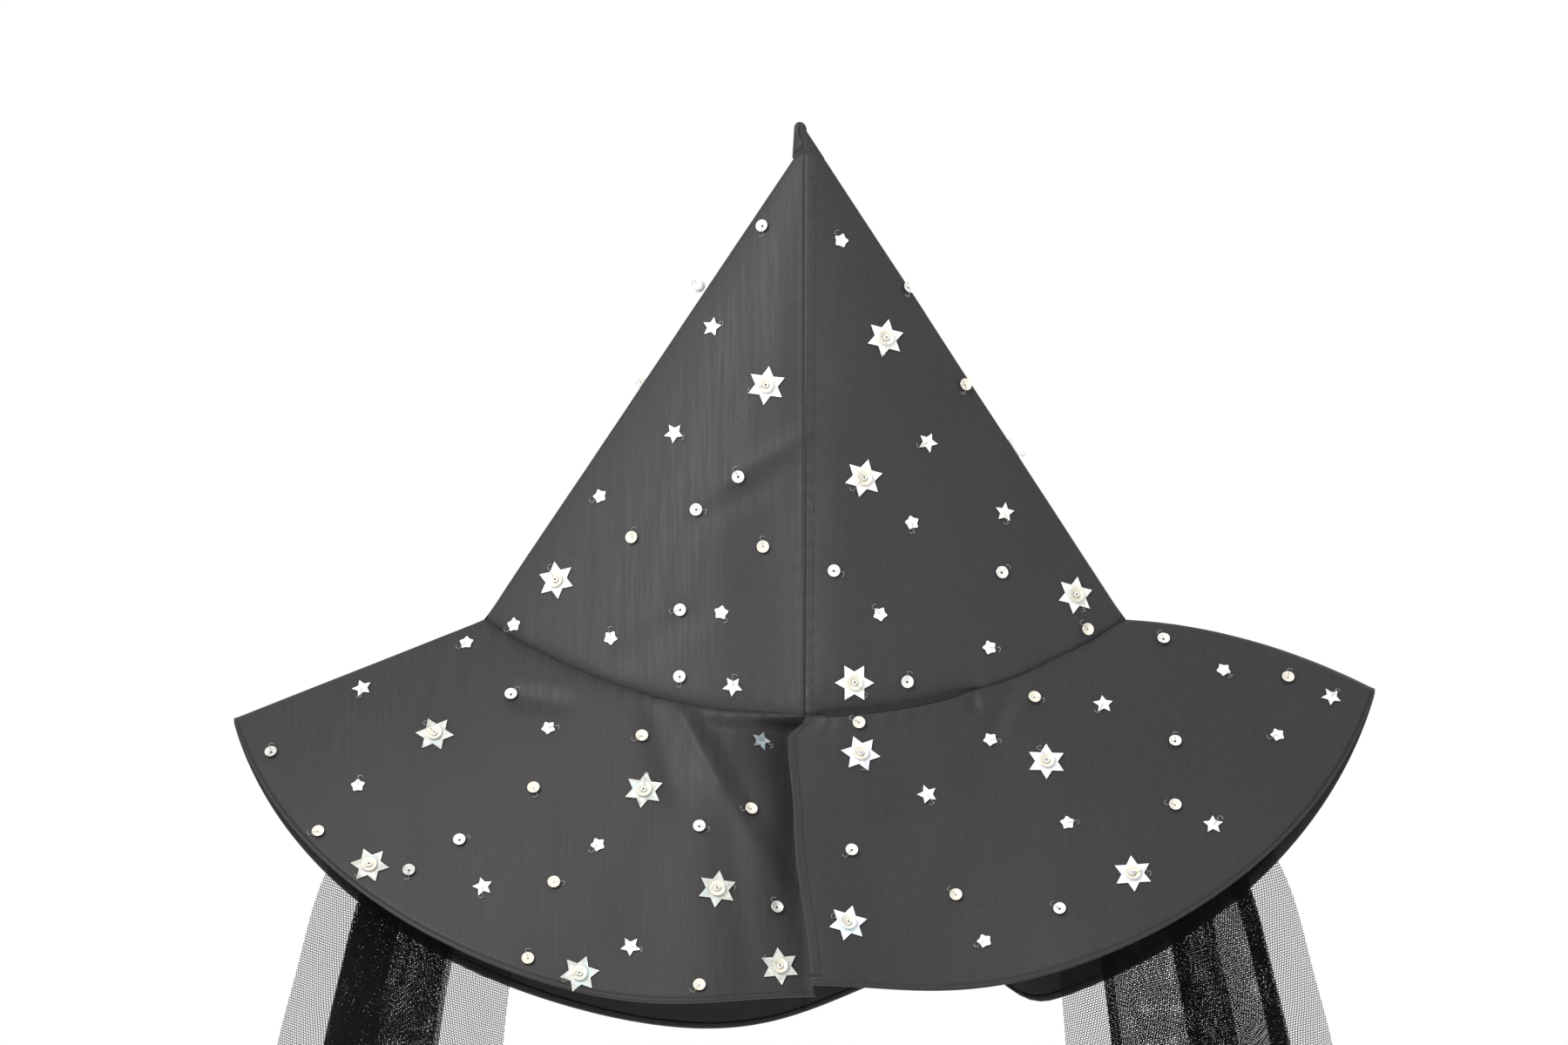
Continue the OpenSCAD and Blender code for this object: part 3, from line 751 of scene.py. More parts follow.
def layer(point, places, rows, d0, d1, ring=False):
    """Closed sheet of cloth between the depths d0 and d1, its long edges rounded."""
    bm = bmesh.new()
    uv = bm.loops.layers.uv.new("cloth")
    near = [[bm.verts.new(point(side, s, r, d0)) for side, s in places] for r in rows]
    far = [[bm.verts.new(point(side, s, r, d1)) for side, s in places] for r in rows]
    half = (d0 + d1) / 2
    rims = []
    for end, inner in ((0, 1), (-1, -2)):
        rim = []
        for k, (side, s) in enumerate(places):
            middle = point(side, s, rows[end], half)
            push = near[end][k].co - near[inner][k].co
            rim.append(bm.verts.new(middle + push.normalized() * (d1 - d0) * 0.4))
        rims.append(rim)
    count = len(places)
    last = count if ring else count - 1
    run = [0.0]
    for k in range(count - 1):
        run.append(run[-1] + (near[-1][k + 1].co - near[-1][k].co).length)
    run.append(run[-1] + (near[-1][0].co - near[-1][-1].co).length)
    fall = [0.0]
    for i in range(len(rows) - 1):
        fall.append(fall[-1] + (near[i + 1][count // 4].co - near[i][count // 4].co).length)

    def quad(upper, lower, k, i, flip):
        b = (k + 1) % count
        corners = [
            (upper[k], k, i), (upper[b], k + 1, i), (lower[b], k + 1, i + 1), (lower[k], k, i + 1),
        ]
        if flip:
            corners.reverse()
        face = bm.faces.new([c[0] for c in corners])
        for loop, (_, a, e) in zip(face.loops, corners):
            loop[uv].uv = (run[a], fall[min(e, len(fall) - 1)])

    for k in range(last):
        for i in range(len(rows) - 1):
            quad(near[i], near[i + 1], k, i, True)
            quad(far[i], far[i + 1], k, i, False)
        quad(far[0], rims[0], k, 0, True)
        quad(rims[0], near[0], k, 0, True)
        quad(near[-1], rims[1], k, len(rows) - 1, True)
        quad(rims[1], far[-1], k, len(rows) - 1, True)
    if not ring:
        for k, flip in ((0, False), (-1, True)):
            column = [[row[k] for row in near], [row[k] for row in far]]
            for i in range(len(rows) - 1):
                face = [column[0][i], column[1][i], column[1][i + 1], column[0][i + 1]]
                bm.faces.new(face[::-1] if flip else face)
            for rim, i in ((rims[0], 0), (rims[1], -1)):
                cap = [column[0][i], rim[k], column[1][i]]
                bm.faces.new(cap)
    bmesh.ops.recalc_face_normals(bm, faces=bm.faces)
    return bm


def swept(point, places, section):
    """Closed tube along a row of places, through a section of [share, depth] corners."""
    bm = bmesh.new()
    skin(bm, [[bm.verts.new(point(side, s, r, d)) for r, d in section] for side, s in places])
    bmesh.ops.recalc_face_normals(bm, faces=bm.faces)
    return bm


def declare(hat_point, places, rows, d, ring=False, trims=()):
    """Works out a cloth's flat size, from the smooth surface before it was worn, and finds the pieces sewn
    on it by their names in trims; it hands neither on."""
    grid = [[hat_point(side, s, r, d, flat=True) for side, s in places] for r in rows]
    area, width, length = grid_area(grid, ring)
    length = max(length, area / width)
    trims = [bpy.data.objects[name] for name in trims]


# ---- the pieces ----


class HAT_OT_crown(bpy.types.Operator):
    """The cone: two cloth panels, the interlining and the lining"""

    bl_idname = "hat.crown"
    bl_label = "Cone"

    def execute(self, context):
        hat, cloths = Hat(), context.scene.hat_cloths
        c = hat.set
        cloth = satin("crown_satin", cloths.crown, cloths.thread, CROWN_STREAK, CROWN_GRAIN)
        rows = levels(hat.tip_share - POINT_OVERLAP, 1.0012, c.rows + 26)
        for hand in (LEFT, RIGHT):
            side = SIDE_NAME[hand]
            row = half_row(hand, c.columns - 30)
            bm = layer(hat.crown, row, rows, 0, c.cloth)
            piece = new_piece(f"crown_{side}_cloth", bm, cloth, stands_for=[f"crown_panel_{side}"])
            trims = ["crown_front_seam_fold", "crown_back_seam_fold"] if hand == RIGHT else []
            declare(hat.crown, row, rows, 0, trims=trims)
        ring = full_row(c.columns // 2)
        for name, top, bottom, d, thick, slot, finish in (
            ("crown_stiffener", 0.1, 0.995, hat.stiff_at, c.stiff, "interlining",
             plain_cloth("crown_interlining", cloths.stiffener, 0.0007)),
            ("crown_lining", 0.12, 0.99, hat.lining_at, c.lining, "lining",
             satin("lining_satin", cloths.lining, cloths.thread, 0.2, rough=0.36, sheen=0.05)),
        ):
            rows = levels(top, bottom, c.rows // 2)
            bm = layer(hat.crown, ring, rows, d, d + thick, ring=True)
            piece = new_piece(f"{name}_cloth", bm, finish, stands_for=[name])
            declare(hat.crown, ring, rows, d, ring=True)
        return {"FINISHED"}


class HAT_OT_seams(bpy.types.Operator):
    """The pressed centre seams of the cone and of the brim, front and back"""

    bl_idname = "hat.seams"
    bl_label = "Centre seams"

    def execute(self, context):
        hat, cloths = Hat(), context.scene.hat_cloths
        c = hat.set
        crown = satin("crown_seam_satin", cloths.crown, cloths.thread, CROWN_STREAK)
        brim = satin("brim_seam_satin", cloths.brim, cloths.thread, CROWN_STREAK)
        for side, name in ((FRONT, "front"), (BACK, "back")):
            start, end = (-0.0001, 0.0030) if side == FRONT else (-0.0017, 0.0017)
            across = levels(start, end, 8)

            def crown_point(x, t, out, side=side):
                p = hat.crown(side, x / hat.half_w / t, t, 0)
                p.y += side * out
                return p

            def crown_height(share, side=side):
                if side == FRONT:
                    return 0.0002 * (1 - share) ** 1.6 * min(1, 0.55 + share * 6)
                return 0.0006 * math.sqrt(max(0.0, 1 - (2 * share - 1) ** 4))

            bm = self.strip(across, levels(0.075, 0.998, 150), crown_point, crown_height)
            new_piece(f"crown_{name}_seam_fold", bm, crown, stands_for=[f"crown_{name}_seam"])

            def brim_point(share, v, out, side=side):
                p = hat.brim(side, -side * (0.001 + 0.017 * share), v, 0)
                p.y += side * out
                return p

            def brim_height(share):
                return 0.0003 * (1 - share) ** 1.5

            down = levels(0.03, hat.body_v - 0.01, 60)
            bm = self.strip(levels(0, 1, 6), down, brim_point, brim_height)
            new_piece(f"brim_{name}_seam_fold", bm, brim, stands_for=[f"brim_{name}_seam"])
        return {"FINISHED"}

    def strip(self, across, down, point, height):
        """A turning that lies on the cloth, thicker where its profile is high."""
        bm = bmesh.new()
        span = across[-1] - across[0]
        shares = [(a - across[0]) / span for a in across]
        edge, foot = 0.00003, -0.0001
        tops = [
            [bm.verts.new(point(a, r, edge + height(q))) for a, q in zip(across, shares)] for r in down
        ]
        feet = [[bm.verts.new(point(a, r, foot)) for a in across] for r in down]
        n = len(across)
        for i in range(len(down) - 1):
            for k in range(n - 1):
                bm.faces.new([tops[i][k], tops[i][k + 1], tops[i + 1][k + 1], tops[i + 1][k]])
                bm.faces.new([feet[i][k], feet[i + 1][k], feet[i + 1][k + 1], feet[i][k + 1]])
            bm.faces.new([tops[i][0], tops[i + 1][0], feet[i + 1][0], feet[i][0]])
            bm.faces.new([tops[i][-1], feet[i][-1], feet[i + 1][-1], tops[i + 1][-1]])
        for k in range(n - 1):
            bm.faces.new([tops[0][k], feet[0][k], feet[0][k + 1], tops[0][k + 1]])
            bm.faces.new([tops[-1][k], tops[-1][k + 1], feet[-1][k + 1], feet[-1][k]])
        bmesh.ops.recalc_face_normals(bm, faces=bm.faces)
        return bm


class HAT_OT_tip(bpy.types.Operator):
    """The folded-over point, its turning pressed down towards the left"""

    bl_idname = "hat.tip"
    bl_label = "Point"

    def execute(self, context):
        hat, cloths = Hat(), context.scene.hat_cloths
        bm = bmesh.new()
        rows, columns = 60, 96
        # its height, and where its very top lies beside the hat's middle
        height, top_x = 0.0152, -0.0022
        # the ends of the folded edge, and the seam, beside and below the very top
        fold_low, fold_high = Vector((-0.0062, -0.0160)), Vector((-0.0011, -0.0102))
        along = (fold_high - fold_low).normalized()
        rings = []
        for i in range(1, rows + 1):
            # the depth below the very top, and the outline's left and right edges there
            u = height * (i / rows) ** 1.3
            round_left = math.sqrt(max(0.0, 1 - (1 - min(1, u / 0.0026)) ** 2))
            round_right = math.sqrt(max(0.0, 1 - (1 - min(1, u / 0.0036)) ** 2))
            left = top_x - 0.0023 * round_left - 0.062 * max(0.0, u - 0.0026)
            right = top_x + 0.0030 * round_right + 0.655 * max(0.0, u - 0.0040)
            middle, half = (left + right) / 2, (right - left) / 2
            deep = (0.0013 + 0.0008 * smooth(u, 0.002, 0.0150)) * min(round_left, round_right)
            flat = smooth(u, 0.004, 0.014)
            ring = []
            for k in range(columns):
                a = 2 * math.pi * k / columns
                x = middle + half * math.cos(a)
                rise = math.sin(a) * (1 - flat + flat * abs(math.sin(a)))
                y = -deep * rise
                seam = top_x + 0.0018 * smooth(u, 0.003, 0.011) + 0.0004 * smooth(u, 0.010, 0.013)
                seam += 0.00025 * math.sin(u * 900)
                if rise > 0:
                    above = (Vector((x, -u)) - fold_low).cross(along)
                    turned = smooth(-above, -0.0002, 0.0006) * (1 - smooth(x - seam, -0.0008, 0.0002))
                    y -= 0.0006 * turned * min(1, rise * 2)
                    y += 0.0004 * bell(x - seam, 0.0003) * min(1, rise * 3) * round_left
                y += 0.00025 * rise * noise.noise(Vector((x, y, u)) * 300)
                # its foot sinks under the cloth of the cone
                y *= 1 - 0.4 * smooth(u, 0.0112, 0.0150)
                ring.append(bm.verts.new((x, y, hat.tip_z - u)))
            rings.append(ring)
        top = bm.verts.new((top_x, 0, hat.tip_z - 0.00002))
        for k in range(columns):
            n = (k + 1) % columns
            bm.faces.new([top, rings[0][k], rings[0][n]])
            for upper, lower in zip(rings, rings[1:]):
                bm.faces.new([upper[k], lower[k], lower[n], upper[n]])
        bm.faces.new(rings[-1])
        bmesh.ops.recalc_face_normals(bm, faces=bm.faces)
        finish = satin("tip_satin", cloths.crown, cloths.thread, CROWN_STREAK, CROWN_GRAIN)
        piece = new_piece("crown_tip_fold", bm, finish, stands_for=["crown_tip"])
        return {"FINISHED"}


class HAT_OT_sweatband(bpy.types.Operator):
    """The ribbon inside the head opening"""

    bl_idname = "hat.sweatband"
    bl_label = "Sweatband"

    def execute(self, context):
        hat, cloths = Hat(), context.scene.hat_cloths
        c = hat.set
        row = full_row(c.columns)
        rows = levels(1 - c.band_height / hat.slant, 0.99, 14)
        bm = layer(hat.crown, row, rows, hat.band_at, hat.inside_at, ring=True)
        piece = new_piece("sweatband_ribbon", bm, grosgrain("grosgrain", cloths.ribbon),
                          stands_for=["sweatband"])
        declare(hat.crown, row, rows, hat.band_at, ring=True)
        return {"FINISHED"}


class HAT_OT_brim(bpy.types.Operator):
    """The two halves of the brim: outer cloth, interlining and under cloth"""

    bl_idname = "hat.brim"
    bl_label = "Brim"

    def execute(self, context):
        hat, cloths = Hat(), context.scene.hat_cloths
        c = hat.set
        tops = {
            LEFT: satin("slubbed_satin", cloths.slub, cloths.thread, SLUB_STREAK),
            RIGHT: satin("brim_satin", cloths.brim, cloths.thread, BRIM_STREAK, BRIM_GRAIN),
        }
        inner = plain_cloth("brim_interlining", cloths.stiffener, 0.0007)
        # the under cloth is near black, partly its own colour and partly painted shade inside the brim
        under = satin("under_satin_and_painted_shade", cloths.under, cloths.thread, 0.4, rough=0.5, sheen=0.03)
        for hand in (LEFT, RIGHT):
            side = SIDE_NAME[hand]
            for name, start, d, thick, finish, slot, fine in (
                ("brim_top", 0.0012, 0, c.cloth, tops[hand], "satin", 1.0),
                ("brim_stiffener", 0.01, hat.stiff_at, c.stiff, inner, "interlining", 0.6),
                ("brim_under", 0.01, hat.lining_at, c.lining, under, "under_cloth", 0.8),
            ):
                row = half_row(hand, int(c.columns * fine))
                rows = levels(start, hat.hem_v + 0.004, int(c.rows * fine), 1.15)
                bm = layer(hat.brim, row, rows, d, d + thick)
                piece = new_piece(f"{name}_{side}_cloth", bm, finish, stands_for=[f"{name}_{side}"])
                trims = [f"hem_{side}_fold"] if name == "brim_top" else []
                if trims and hand == RIGHT:
                    trims += ["brim_front_seam_fold", "brim_back_seam_fold"]
                declare(hat.brim, row, rows, d, trims=trims)
        return {"FINISHED"}


class HAT_OT_hems(bpy.types.Operator):
    """The turned hem of each half of the brim"""

    bl_idname = "hat.hems"
    bl_label = "Hems"

    def execute(self, context):
        hat, cloths = Hat(), context.scene.hat_cloths
        c = hat.set
        proud = 0.00018
        thick = hat.lining_at + c.lining + 2 * proud
        start, bend = hat.hem_v, 0.5 * thick / c.brim_width
        corners = [(start, 0.0003), (start + 0.002, -proud), (1 - bend, -proud)]
        for k in range(1, 8):
            a = math.pi * k / 8
            corners.append((1 - bend + bend * math.sin(a), thick / 2 * (1 - math.cos(a)) - proud))
        corners += [(1 - bend, thick - proud), (start, thick - proud)]
        finishes = {
            LEFT: satin("hem_slubbed_satin", cloths.slub, cloths.thread, SLUB_STREAK),
            RIGHT: satin("hem_satin", cloths.brim, cloths.thread, BRIM_STREAK, BRIM_GRAIN),
        }
        # the hem's inner turning is near black, partly the under cloth's own colour and partly painted
        # shade inside the brim
        under = satin("hem_under_satin", cloths.under, cloths.thread, 0.4, rough=0.5, sheen=0.03)
        for hand in (LEFT, RIGHT):
            side = SIDE_NAME[hand]
            row = half_row(hand, c.columns)
            bm = swept(hat.brim, row, corners)
            node = f"brim_hem_{side}"
            piece = new_piece(f"hem_{side}_fold", bm, finishes[hand], stands_for=[node])
            piece.data.materials.append(under)
            # the turning inside the hat gets the near-black under cloth: partly its own dark cloth, partly
            # painted shade inside the brim
            for face in piece.data.polygons:
                if face.normal.y * face.center.y < -0.0001 * abs(face.center.y):
                    face.material_index = 1
        return {"FINISHED"}


# ---- the tulle ----


class Bunch:
    """One bunch of the veil: where its edges and its folds run at each height."""

    # its depth at the heading, and the falls over which it widens and deepens
    TOP_DEPTH, WIDEN_FALL, DEEPEN_FALL = 0.0045, 0.05, 0.12
    # the outer edge hangs slack by this much, this far below the heading and over this length
    SLACK, SLACK_AT, SLACK_LENGTH = 0.035, 0.112, 0.035
    # room between the net and the sides of its bunch
    ROOM = 0.0008

    def __init__(self, hand):
        name = SIDE_NAME[hand]
        self.hand = hand
        self.veil = bpy.context.scene.hat_veil
        low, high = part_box(f"veil_{name}")
        head_low, head_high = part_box(f"veil_header_{name}")
        self.top, self.bottom = high[2], low[2]
        self.y = (low[1] + high[1]) / 2
        self.half_t = (high[1] - low[1]) / 2
        near, far = sorted((abs(head_low[0]), abs(head_high[0])))
        self.near, self.far = near, far
        self.out_far = max(abs(low[0]), abs(high[0])) - far
        self.out_near = min(abs(low[0]), abs(high[0]))
        # where the net turns back on itself, as shares from the inner to the outer edge
        if hand == LEFT:
            self.turns = [0, 0.80, 0.28, 0.57, 0.30, 0.79, 0.555, 0.80, 0.56, 0.795, 0.57, 1]
            self.fall_near = 0.080
        else:
            self.turns = [0, 0.21, 0.165, 0.515, 0.17, 0.65, 0.45, 0.835, 0.46, 0.84, 0.76, 0.845, 0.77, 1]
            self.fall_near = 0.062

    def edges(self, z):
        fall = self.top - z
        run = 1 - math.exp(-fall / self.WIDEN_FALL)
        slack = self.SLACK * bell(fall - self.SLACK_AT, self.SLACK_LENGTH)
        return self.near + self.fall_near * run, self.far + self.out_far * (run - slack), run

    def thick(self, z):
        deeper = 1 - math.exp(-(self.top - z) / self.DEEPEN_FALL)
        return self.TOP_DEPTH + (self.half_t - self.TOP_DEPTH) * deeper

    def length(self):
        return sum(abs(b - a) for a, b in zip(self.turns, self.turns[1:]))

    def path(self, z, count):
        """The folded net at one height, as (x, y) places."""
        near, far, run = self.edges(z)
        n = len(self.turns) - 1
        wander = []
        for k, turn in enumerate(self.turns):
            even = turn * 0.8 + (k % 2) * 0.12 + 0.04 if 0 < k < n else turn
            slant = math.sin(k * 2.1 + self.hand) * (z + 0.16) * 3.0
            drift = self.veil.drift * slant
            inner = 0 < k < n
            wander.append(even + (turn - even) * min(1, run * 1.15) + (drift * run if inner else 0))
        legs = [abs(b - a) for a, b in zip(self.turns, self.turns[1:])]
        total = sum(legs)
        out = []
        for i in range(count + 1):
            at = i / count * total
            k = 0
            while k < n - 1 and at > legs[k]:
                at -= legs[k]
                k += 1
            share = min(1.0, at / legs[k])
            # round the turns: slow down at each end of a leg
            eased = share - math.sin(2 * math.pi * share) / (2 * math.pi) * 0.15
            x = wander[k] + (wander[k + 1] - wander[k]) * eased
            level = (k + smooth(share, 0.0, 1.0) * 0.35 + 0.65 * smooth(share, 0.82, 1.0)) / n
            out.append((near + (far - near) * x, -1 + 2 * level, i / count * total))
        return out

    def mesh(self):
        bm = bmesh.new()
        uv = bm.loops.layers.uv.new("net")
        deep_near, deep_far, _ = self.edges(self.bottom)
        wide = deep_far - deep_near
        count = int(self.length() * wide / self.veil.step)
        heights = levels(self.top, self.bottom, self.veil.rows)
        rows = []
        for z in heights:
            half = self.thick(z) - self.ROOM
            near, far, _ = self.edges(z)
            row = []
            for x, level, at in self.path(z, count):
                off = (x - (near + far) / 2) * 2 / (far - near)
                edge = 0.9 * math.sqrt(max(0.04, 1 - off**2))
                ripple = self.veil.ripple * noise.noise(Vector((at * 9, z * 22, self.hand)))
                crumple = self.veil.ripple * 1.4 * math.sin(at * 60) * math.exp(-(self.top - z) / 0.03)
                y = self.y + half * level * edge + ripple + crumple * 0.6
                # the meshes of the net are pulled a little out of line
                pull = 0.0006 * noise.noise(Vector((at * wide * 70, z * 70, 3.0)))
                sag = 0.0006 * noise.noise(Vector((at * wide * 70, z * 70, 9.0)))
                row.append((bm.verts.new((self.hand * x, y, z)), at * wide + pull, self.top - z + sag))
            rows.append(row)
        for upper, lower in zip(rows, rows[1:]):
            for k in range(count):
                corners = [upper[k], upper[k + 1], lower[k + 1], lower[k]]
                if self.hand == RIGHT:
                    corners.reverse()
                face = bm.faces.new([c[0] for c in corners])
                for loop, c in zip(face.loops, corners):
                    loop[uv].uv = c[1:]
        return bm, self.length() * wide, self.top - self.bottom


class HAT_OT_veil(bpy.types.Operator):
    """The two bunches of tulle and their gathered headings"""

    bl_idname = "hat.veil"
    bl_label = "Veil"

    def execute(self, context):
        cloths = context.scene.hat_cloths
        tulle = net("tulle", cloths.tulle, cloths.net, cloths.strand)
        heading = plain_cloth("gathered_tulle", cloths.tulle, 0.0009)
        for hand in (LEFT, RIGHT):
            name = SIDE_NAME[hand]
            bm, width, length = Bunch(hand).mesh()
            piece = new_piece(f"veil_{name}_tulle", bm, tulle, body=f"veil_{name}",
                              stands_for=[f"veil_{name}"])
            self.heading(hand, name, heading)
        return {"FINISHED"}

    def heading(self, hand, name, finish):
        """A strip of close upright gathers, from the front of the heading to the sweatband."""
        low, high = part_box(f"veil_header_{name}")
        near, far = sorted((abs(low[0]), abs(high[0])))
        hat = Hat()
        # gathers in the heading, faces to each, and the heading's bare edge at either end
        folds, fine, bare = 17, 10, 0.0006
        bm = bmesh.new()
        top_z, low_z = high[2], low[2]
        rows = []
        for i in range(9):
            z = low_z + (top_z - low_z) * i / 8
            row = []
            for k in range(folds * fine + 1):
                share = k / (folds * fine)
                x = near + bare + (far - near - 2 * bare) * share
                # the room between the heading's front and the sweatband behind it
                deep = (hat.half_d - hat.inside_at) * max(0.0, 1 - (x / hat.half_w) ** 1.6) - 0.006
                back = min(high[1] - 0.001, max(low[1] + 0.003, deep))
                middle, half = (low[1] + back) / 2, (back - low[1]) / 2 - 0.0006
                turn = math.sin(2 * math.pi * share * folds)
                lean = 0.0008 * math.sin(share * 31 + z * 260)
                y = middle + half * math.copysign(abs(turn) ** 0.6, turn)
                row.append(bm.verts.new((hand * (x + lean), y, z)))
            rows.append(row)
        for lower, upper in zip(rows, rows[1:]):
            for k in range(len(lower) - 1):
                corners = [lower[k], lower[k + 1], upper[k + 1], upper[k]]
                bm.faces.new(corners if hand == RIGHT else corners[::-1])
        piece = new_piece(f"veil_heading_{name}_gathers", bm, finish,
                          stands_for=[f"veil_header_{name}"])


# ---- sequins ----


class Place:
    """Where one sequin is sewn: its middle, the way it faces and the way its first point goes."""

    def __init__(self, middle, normal, point, reach):
        self.middle, self.normal, self.point, self.reach = middle, normal, point, reach


def sewn_places(node):
    """The places of a node's separate solids, from its mesh."""
    bm = bmesh.new()
    bm.from_mesh(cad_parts[node].data)
    bmesh.ops.remove_doubles(bm, verts=bm.verts, dist=1e-6)
    left, found = set(bm.verts), []
    while left:
        start = min(left, key=lambda v: v.index)
        group, todo = {start}, [start]
        while todo:
            for e in todo.pop().link_edges:
                for v in e.verts:
                    if v not in group:
                        group.add(v)
                        todo.append(v)
        left -= group
        points = np.array([v.co for v in group])
        low, high = points.min(0), points.max(0)
        middle = points.mean(0)
        _, _, axes = np.linalg.svd(points - middle)
        normal = Vector(axes[2])
        if normal.y * middle[1] < 0:
            normal.negate()
        far = points[np.argmax(((points - middle) ** 2).sum(1))]
        point = Vector(far - middle)
        point -= normal * point.dot(normal)
        found.append(Place(Vector(middle), normal.normalized(), point.normalized(), point.length))
    bm.free()
    return sorted(found, key=lambda p: (round(p.middle.z, 4), round(p.middle.x, 4), p.middle.y))


class Needle:
    """Finds the cloth under a sequin."""

    # it starts this far above the cloth and goes this deep
    START, DEPTH = 0.012, 0.03
    # least agreement between a sequin's own facing and the cloth's, for it to follow the cloth
    AGREEMENT = 0.86
    # most that a bump in the cloth lifts a sequin
    MOST_RISE = 0.0022

    def __init__(self):
        names = ["crown_left_cloth", "crown_right_cloth", "brim_top_left_cloth", "brim_top_right_cloth"]
        bm = bmesh.new()
        for name in names:
            bm.from_mesh(bpy.data.objects[name].data)
        self.tree = BVHTree.FromBMesh(bm)
        bm.free()

    def under(self, point, normal):
        return self.tree.ray_cast(point + normal * self.START, -normal, self.DEPTH)[0]

    def sew(self, place, lift):
        """A matrix that lays a sequin on the cloth, clear of it all over."""
        n = place.normal
        across = n.cross(place.point).normalized()
        ring = []
        for k in range(8):
            a = math.pi * k / 4
            way = place.point * math.cos(a) + across * math.sin(a)
            hit = self.under(place.middle + way * place.reach * 0.9, n)
            if hit is not None:
                ring.append(hit)
        centre = self.under(place.middle, n)
        if centre is None:
            centre = place.middle - n * 0.001
        if len(ring) >= 5:
            points = np.array(ring + [centre])
            _, _, axes = np.linalg.svd(points - points.mean(0))
            fit = Vector(axes[2])
            if fit.dot(n) < 0:
                fit.negate()
            if fit.dot(n) > self.AGREEMENT:
                n = fit
        high = max([0.0] + [(p - centre).dot(n) for p in ring])
        point = (place.point - n * place.point.dot(n)).normalized()
        turn = Matrix((point.cross(n), point, n)).transposed().to_4x4()
        return Matrix.Translation(centre + n * (min(high, self.MOST_RISE) + lift)) @ turn


def in_edit(piece):
    choose(piece)
    bpy.ops.object.mode_set(mode="EDIT")
    return bmesh.from_edit_mesh(piece.data)


def out_of_edit():
    bpy.ops.object.mode_set(mode="OBJECT")


def primitive(kind, name, **settings):
    """A new primitive, alone in the selection."""
    bpy.ops.object.select_all(action="DESELECT")
    getattr(bpy.ops.mesh, f"primitive_{kind}_add")(**settings)
    piece = bpy.context.active_object
    piece.name = name
    return piece


def set_down(piece):
    """Moves the piece's lowest point to the height of its own origin."""
    low = min(v.co.z for v in piece.data.vertices)
    for v in piece.data.vertices:
        v.co.z -= low
    return piece


def shape_star(name, points, width, notch, film, rim, blunt=0.0, hole=0.0):
    """A flat star with a sunken band inside its rim, and a hole where one is given."""
    piece = primitive("circle", name, vertices=points * 2, radius=width / 2, fill_type="NGON")
    bm = in_edit(piece)
    for v in bm.verts:
        angle = math.atan2(v.co.x, v.co.y) / (math.pi / points)
        v.select_set(round(angle) % 2 == 1)
    bm.select_flush_mode()
    bmesh.update_edit_mesh(piece.data)
    bpy.ops.transform.resize(value=(notch, notch, 1))
    if blunt:
        bpy.ops.mesh.select_all(action="INVERT")
        bpy.ops.mesh.bevel(offset=blunt, segments=2, affect="VERTICES")
    bpy.ops.mesh.select_all(action="SELECT")
    bpy.ops.mesh.extrude_region_move(TRANSFORM_OT_translate={"value": (0, 0, film)})
    bpy.ops.mesh.inset(thickness=rim, depth=0)
    bpy.ops.transform.translate(value=(0, 0, -film * 0.30))
    bpy.ops.mesh.inset(thickness=rim * 0.9, depth=0)
    bpy.ops.transform.translate(value=(0, 0, film * 0.25))
    bpy.ops.mesh.poke()
    if hole:
        # the middle of the poked face sinks into a small hole
        bpy.ops.mesh.select_all(action="DESELECT")
        bm = bmesh.from_edit_mesh(piece.data)
        top = min(bm.verts, key=lambda v: (v.co.xy.length, -v.co.z))
        top.select_set(True)
        bm.select_flush_mode()
        bmesh.update_edit_mesh(piece.data)
        bpy.ops.mesh.bevel(offset=hole / 2, segments=1, affect="VERTICES")
        bpy.ops.transform.translate(value=(0, 0, -film * 0.75))
    bpy.ops.mesh.select_all(action="SELECT")
    bpy.ops.mesh.normals_make_consistent(inside=False)
    out_of_edit()
    return piece


def shape_cup(name, width, film, hole, rise):
    """A dished round sequin with a hole in its middle."""
    piece = primitive("circle", name, vertices=20, radius=hole / 2, fill_type="NOTHING")
    in_edit(piece)
    bpy.ops.mesh.select_all(action="SELECT")
    at = hole / 2
    # the dish from its hole outwards: share of the half width, and share of the rise
    profile = ((0.30, 0.0), (0.36, 0.10), (0.62, 0.38), (0.86, 0.80), (0.97, 1.0), (1.0, 0.93))
    for share, up in profile:
        bpy.ops.mesh.extrude_edges_move(TRANSFORM_OT_translate={"value": (0, 0, 0)})
        grow = share * width / 2 / at
        at = share * width / 2
        bpy.ops.transform.resize(value=(grow, grow, 1), center_override=(0, 0, 0))
        heights = [v.co.z for v in bmesh.from_edit_mesh(piece.data).verts if v.select]
        bpy.ops.transform.translate(value=(0, 0, up * rise - heights[0]))
    bpy.ops.mesh.select_all(action="SELECT")
    bpy.ops.mesh.normals_make_consistent(inside=False)
    out_of_edit()
    modifier = piece.modifiers.new("Film", "SOLIDIFY")
    modifier.thickness = film
    modifier.offset = 0
    choose(piece)
    bpy.ops.object.modifier_apply(modifier=modifier.name)
    return set_down(piece)


def shape_bead(name, width):
    """A small glass ring, taller than it is thick."""
    piece = primitive(
        "torus", name, major_segments=14, minor_segments=8,
        major_radius=width * 0.32, minor_radius=width * 0.18,
    )
    in_edit(piece)
    bpy.ops.mesh.select_all(action="SELECT")
    bpy.ops.transform.resize(value=(1, 1, 1.45))
    out_of_edit()
    return set_down(piece)


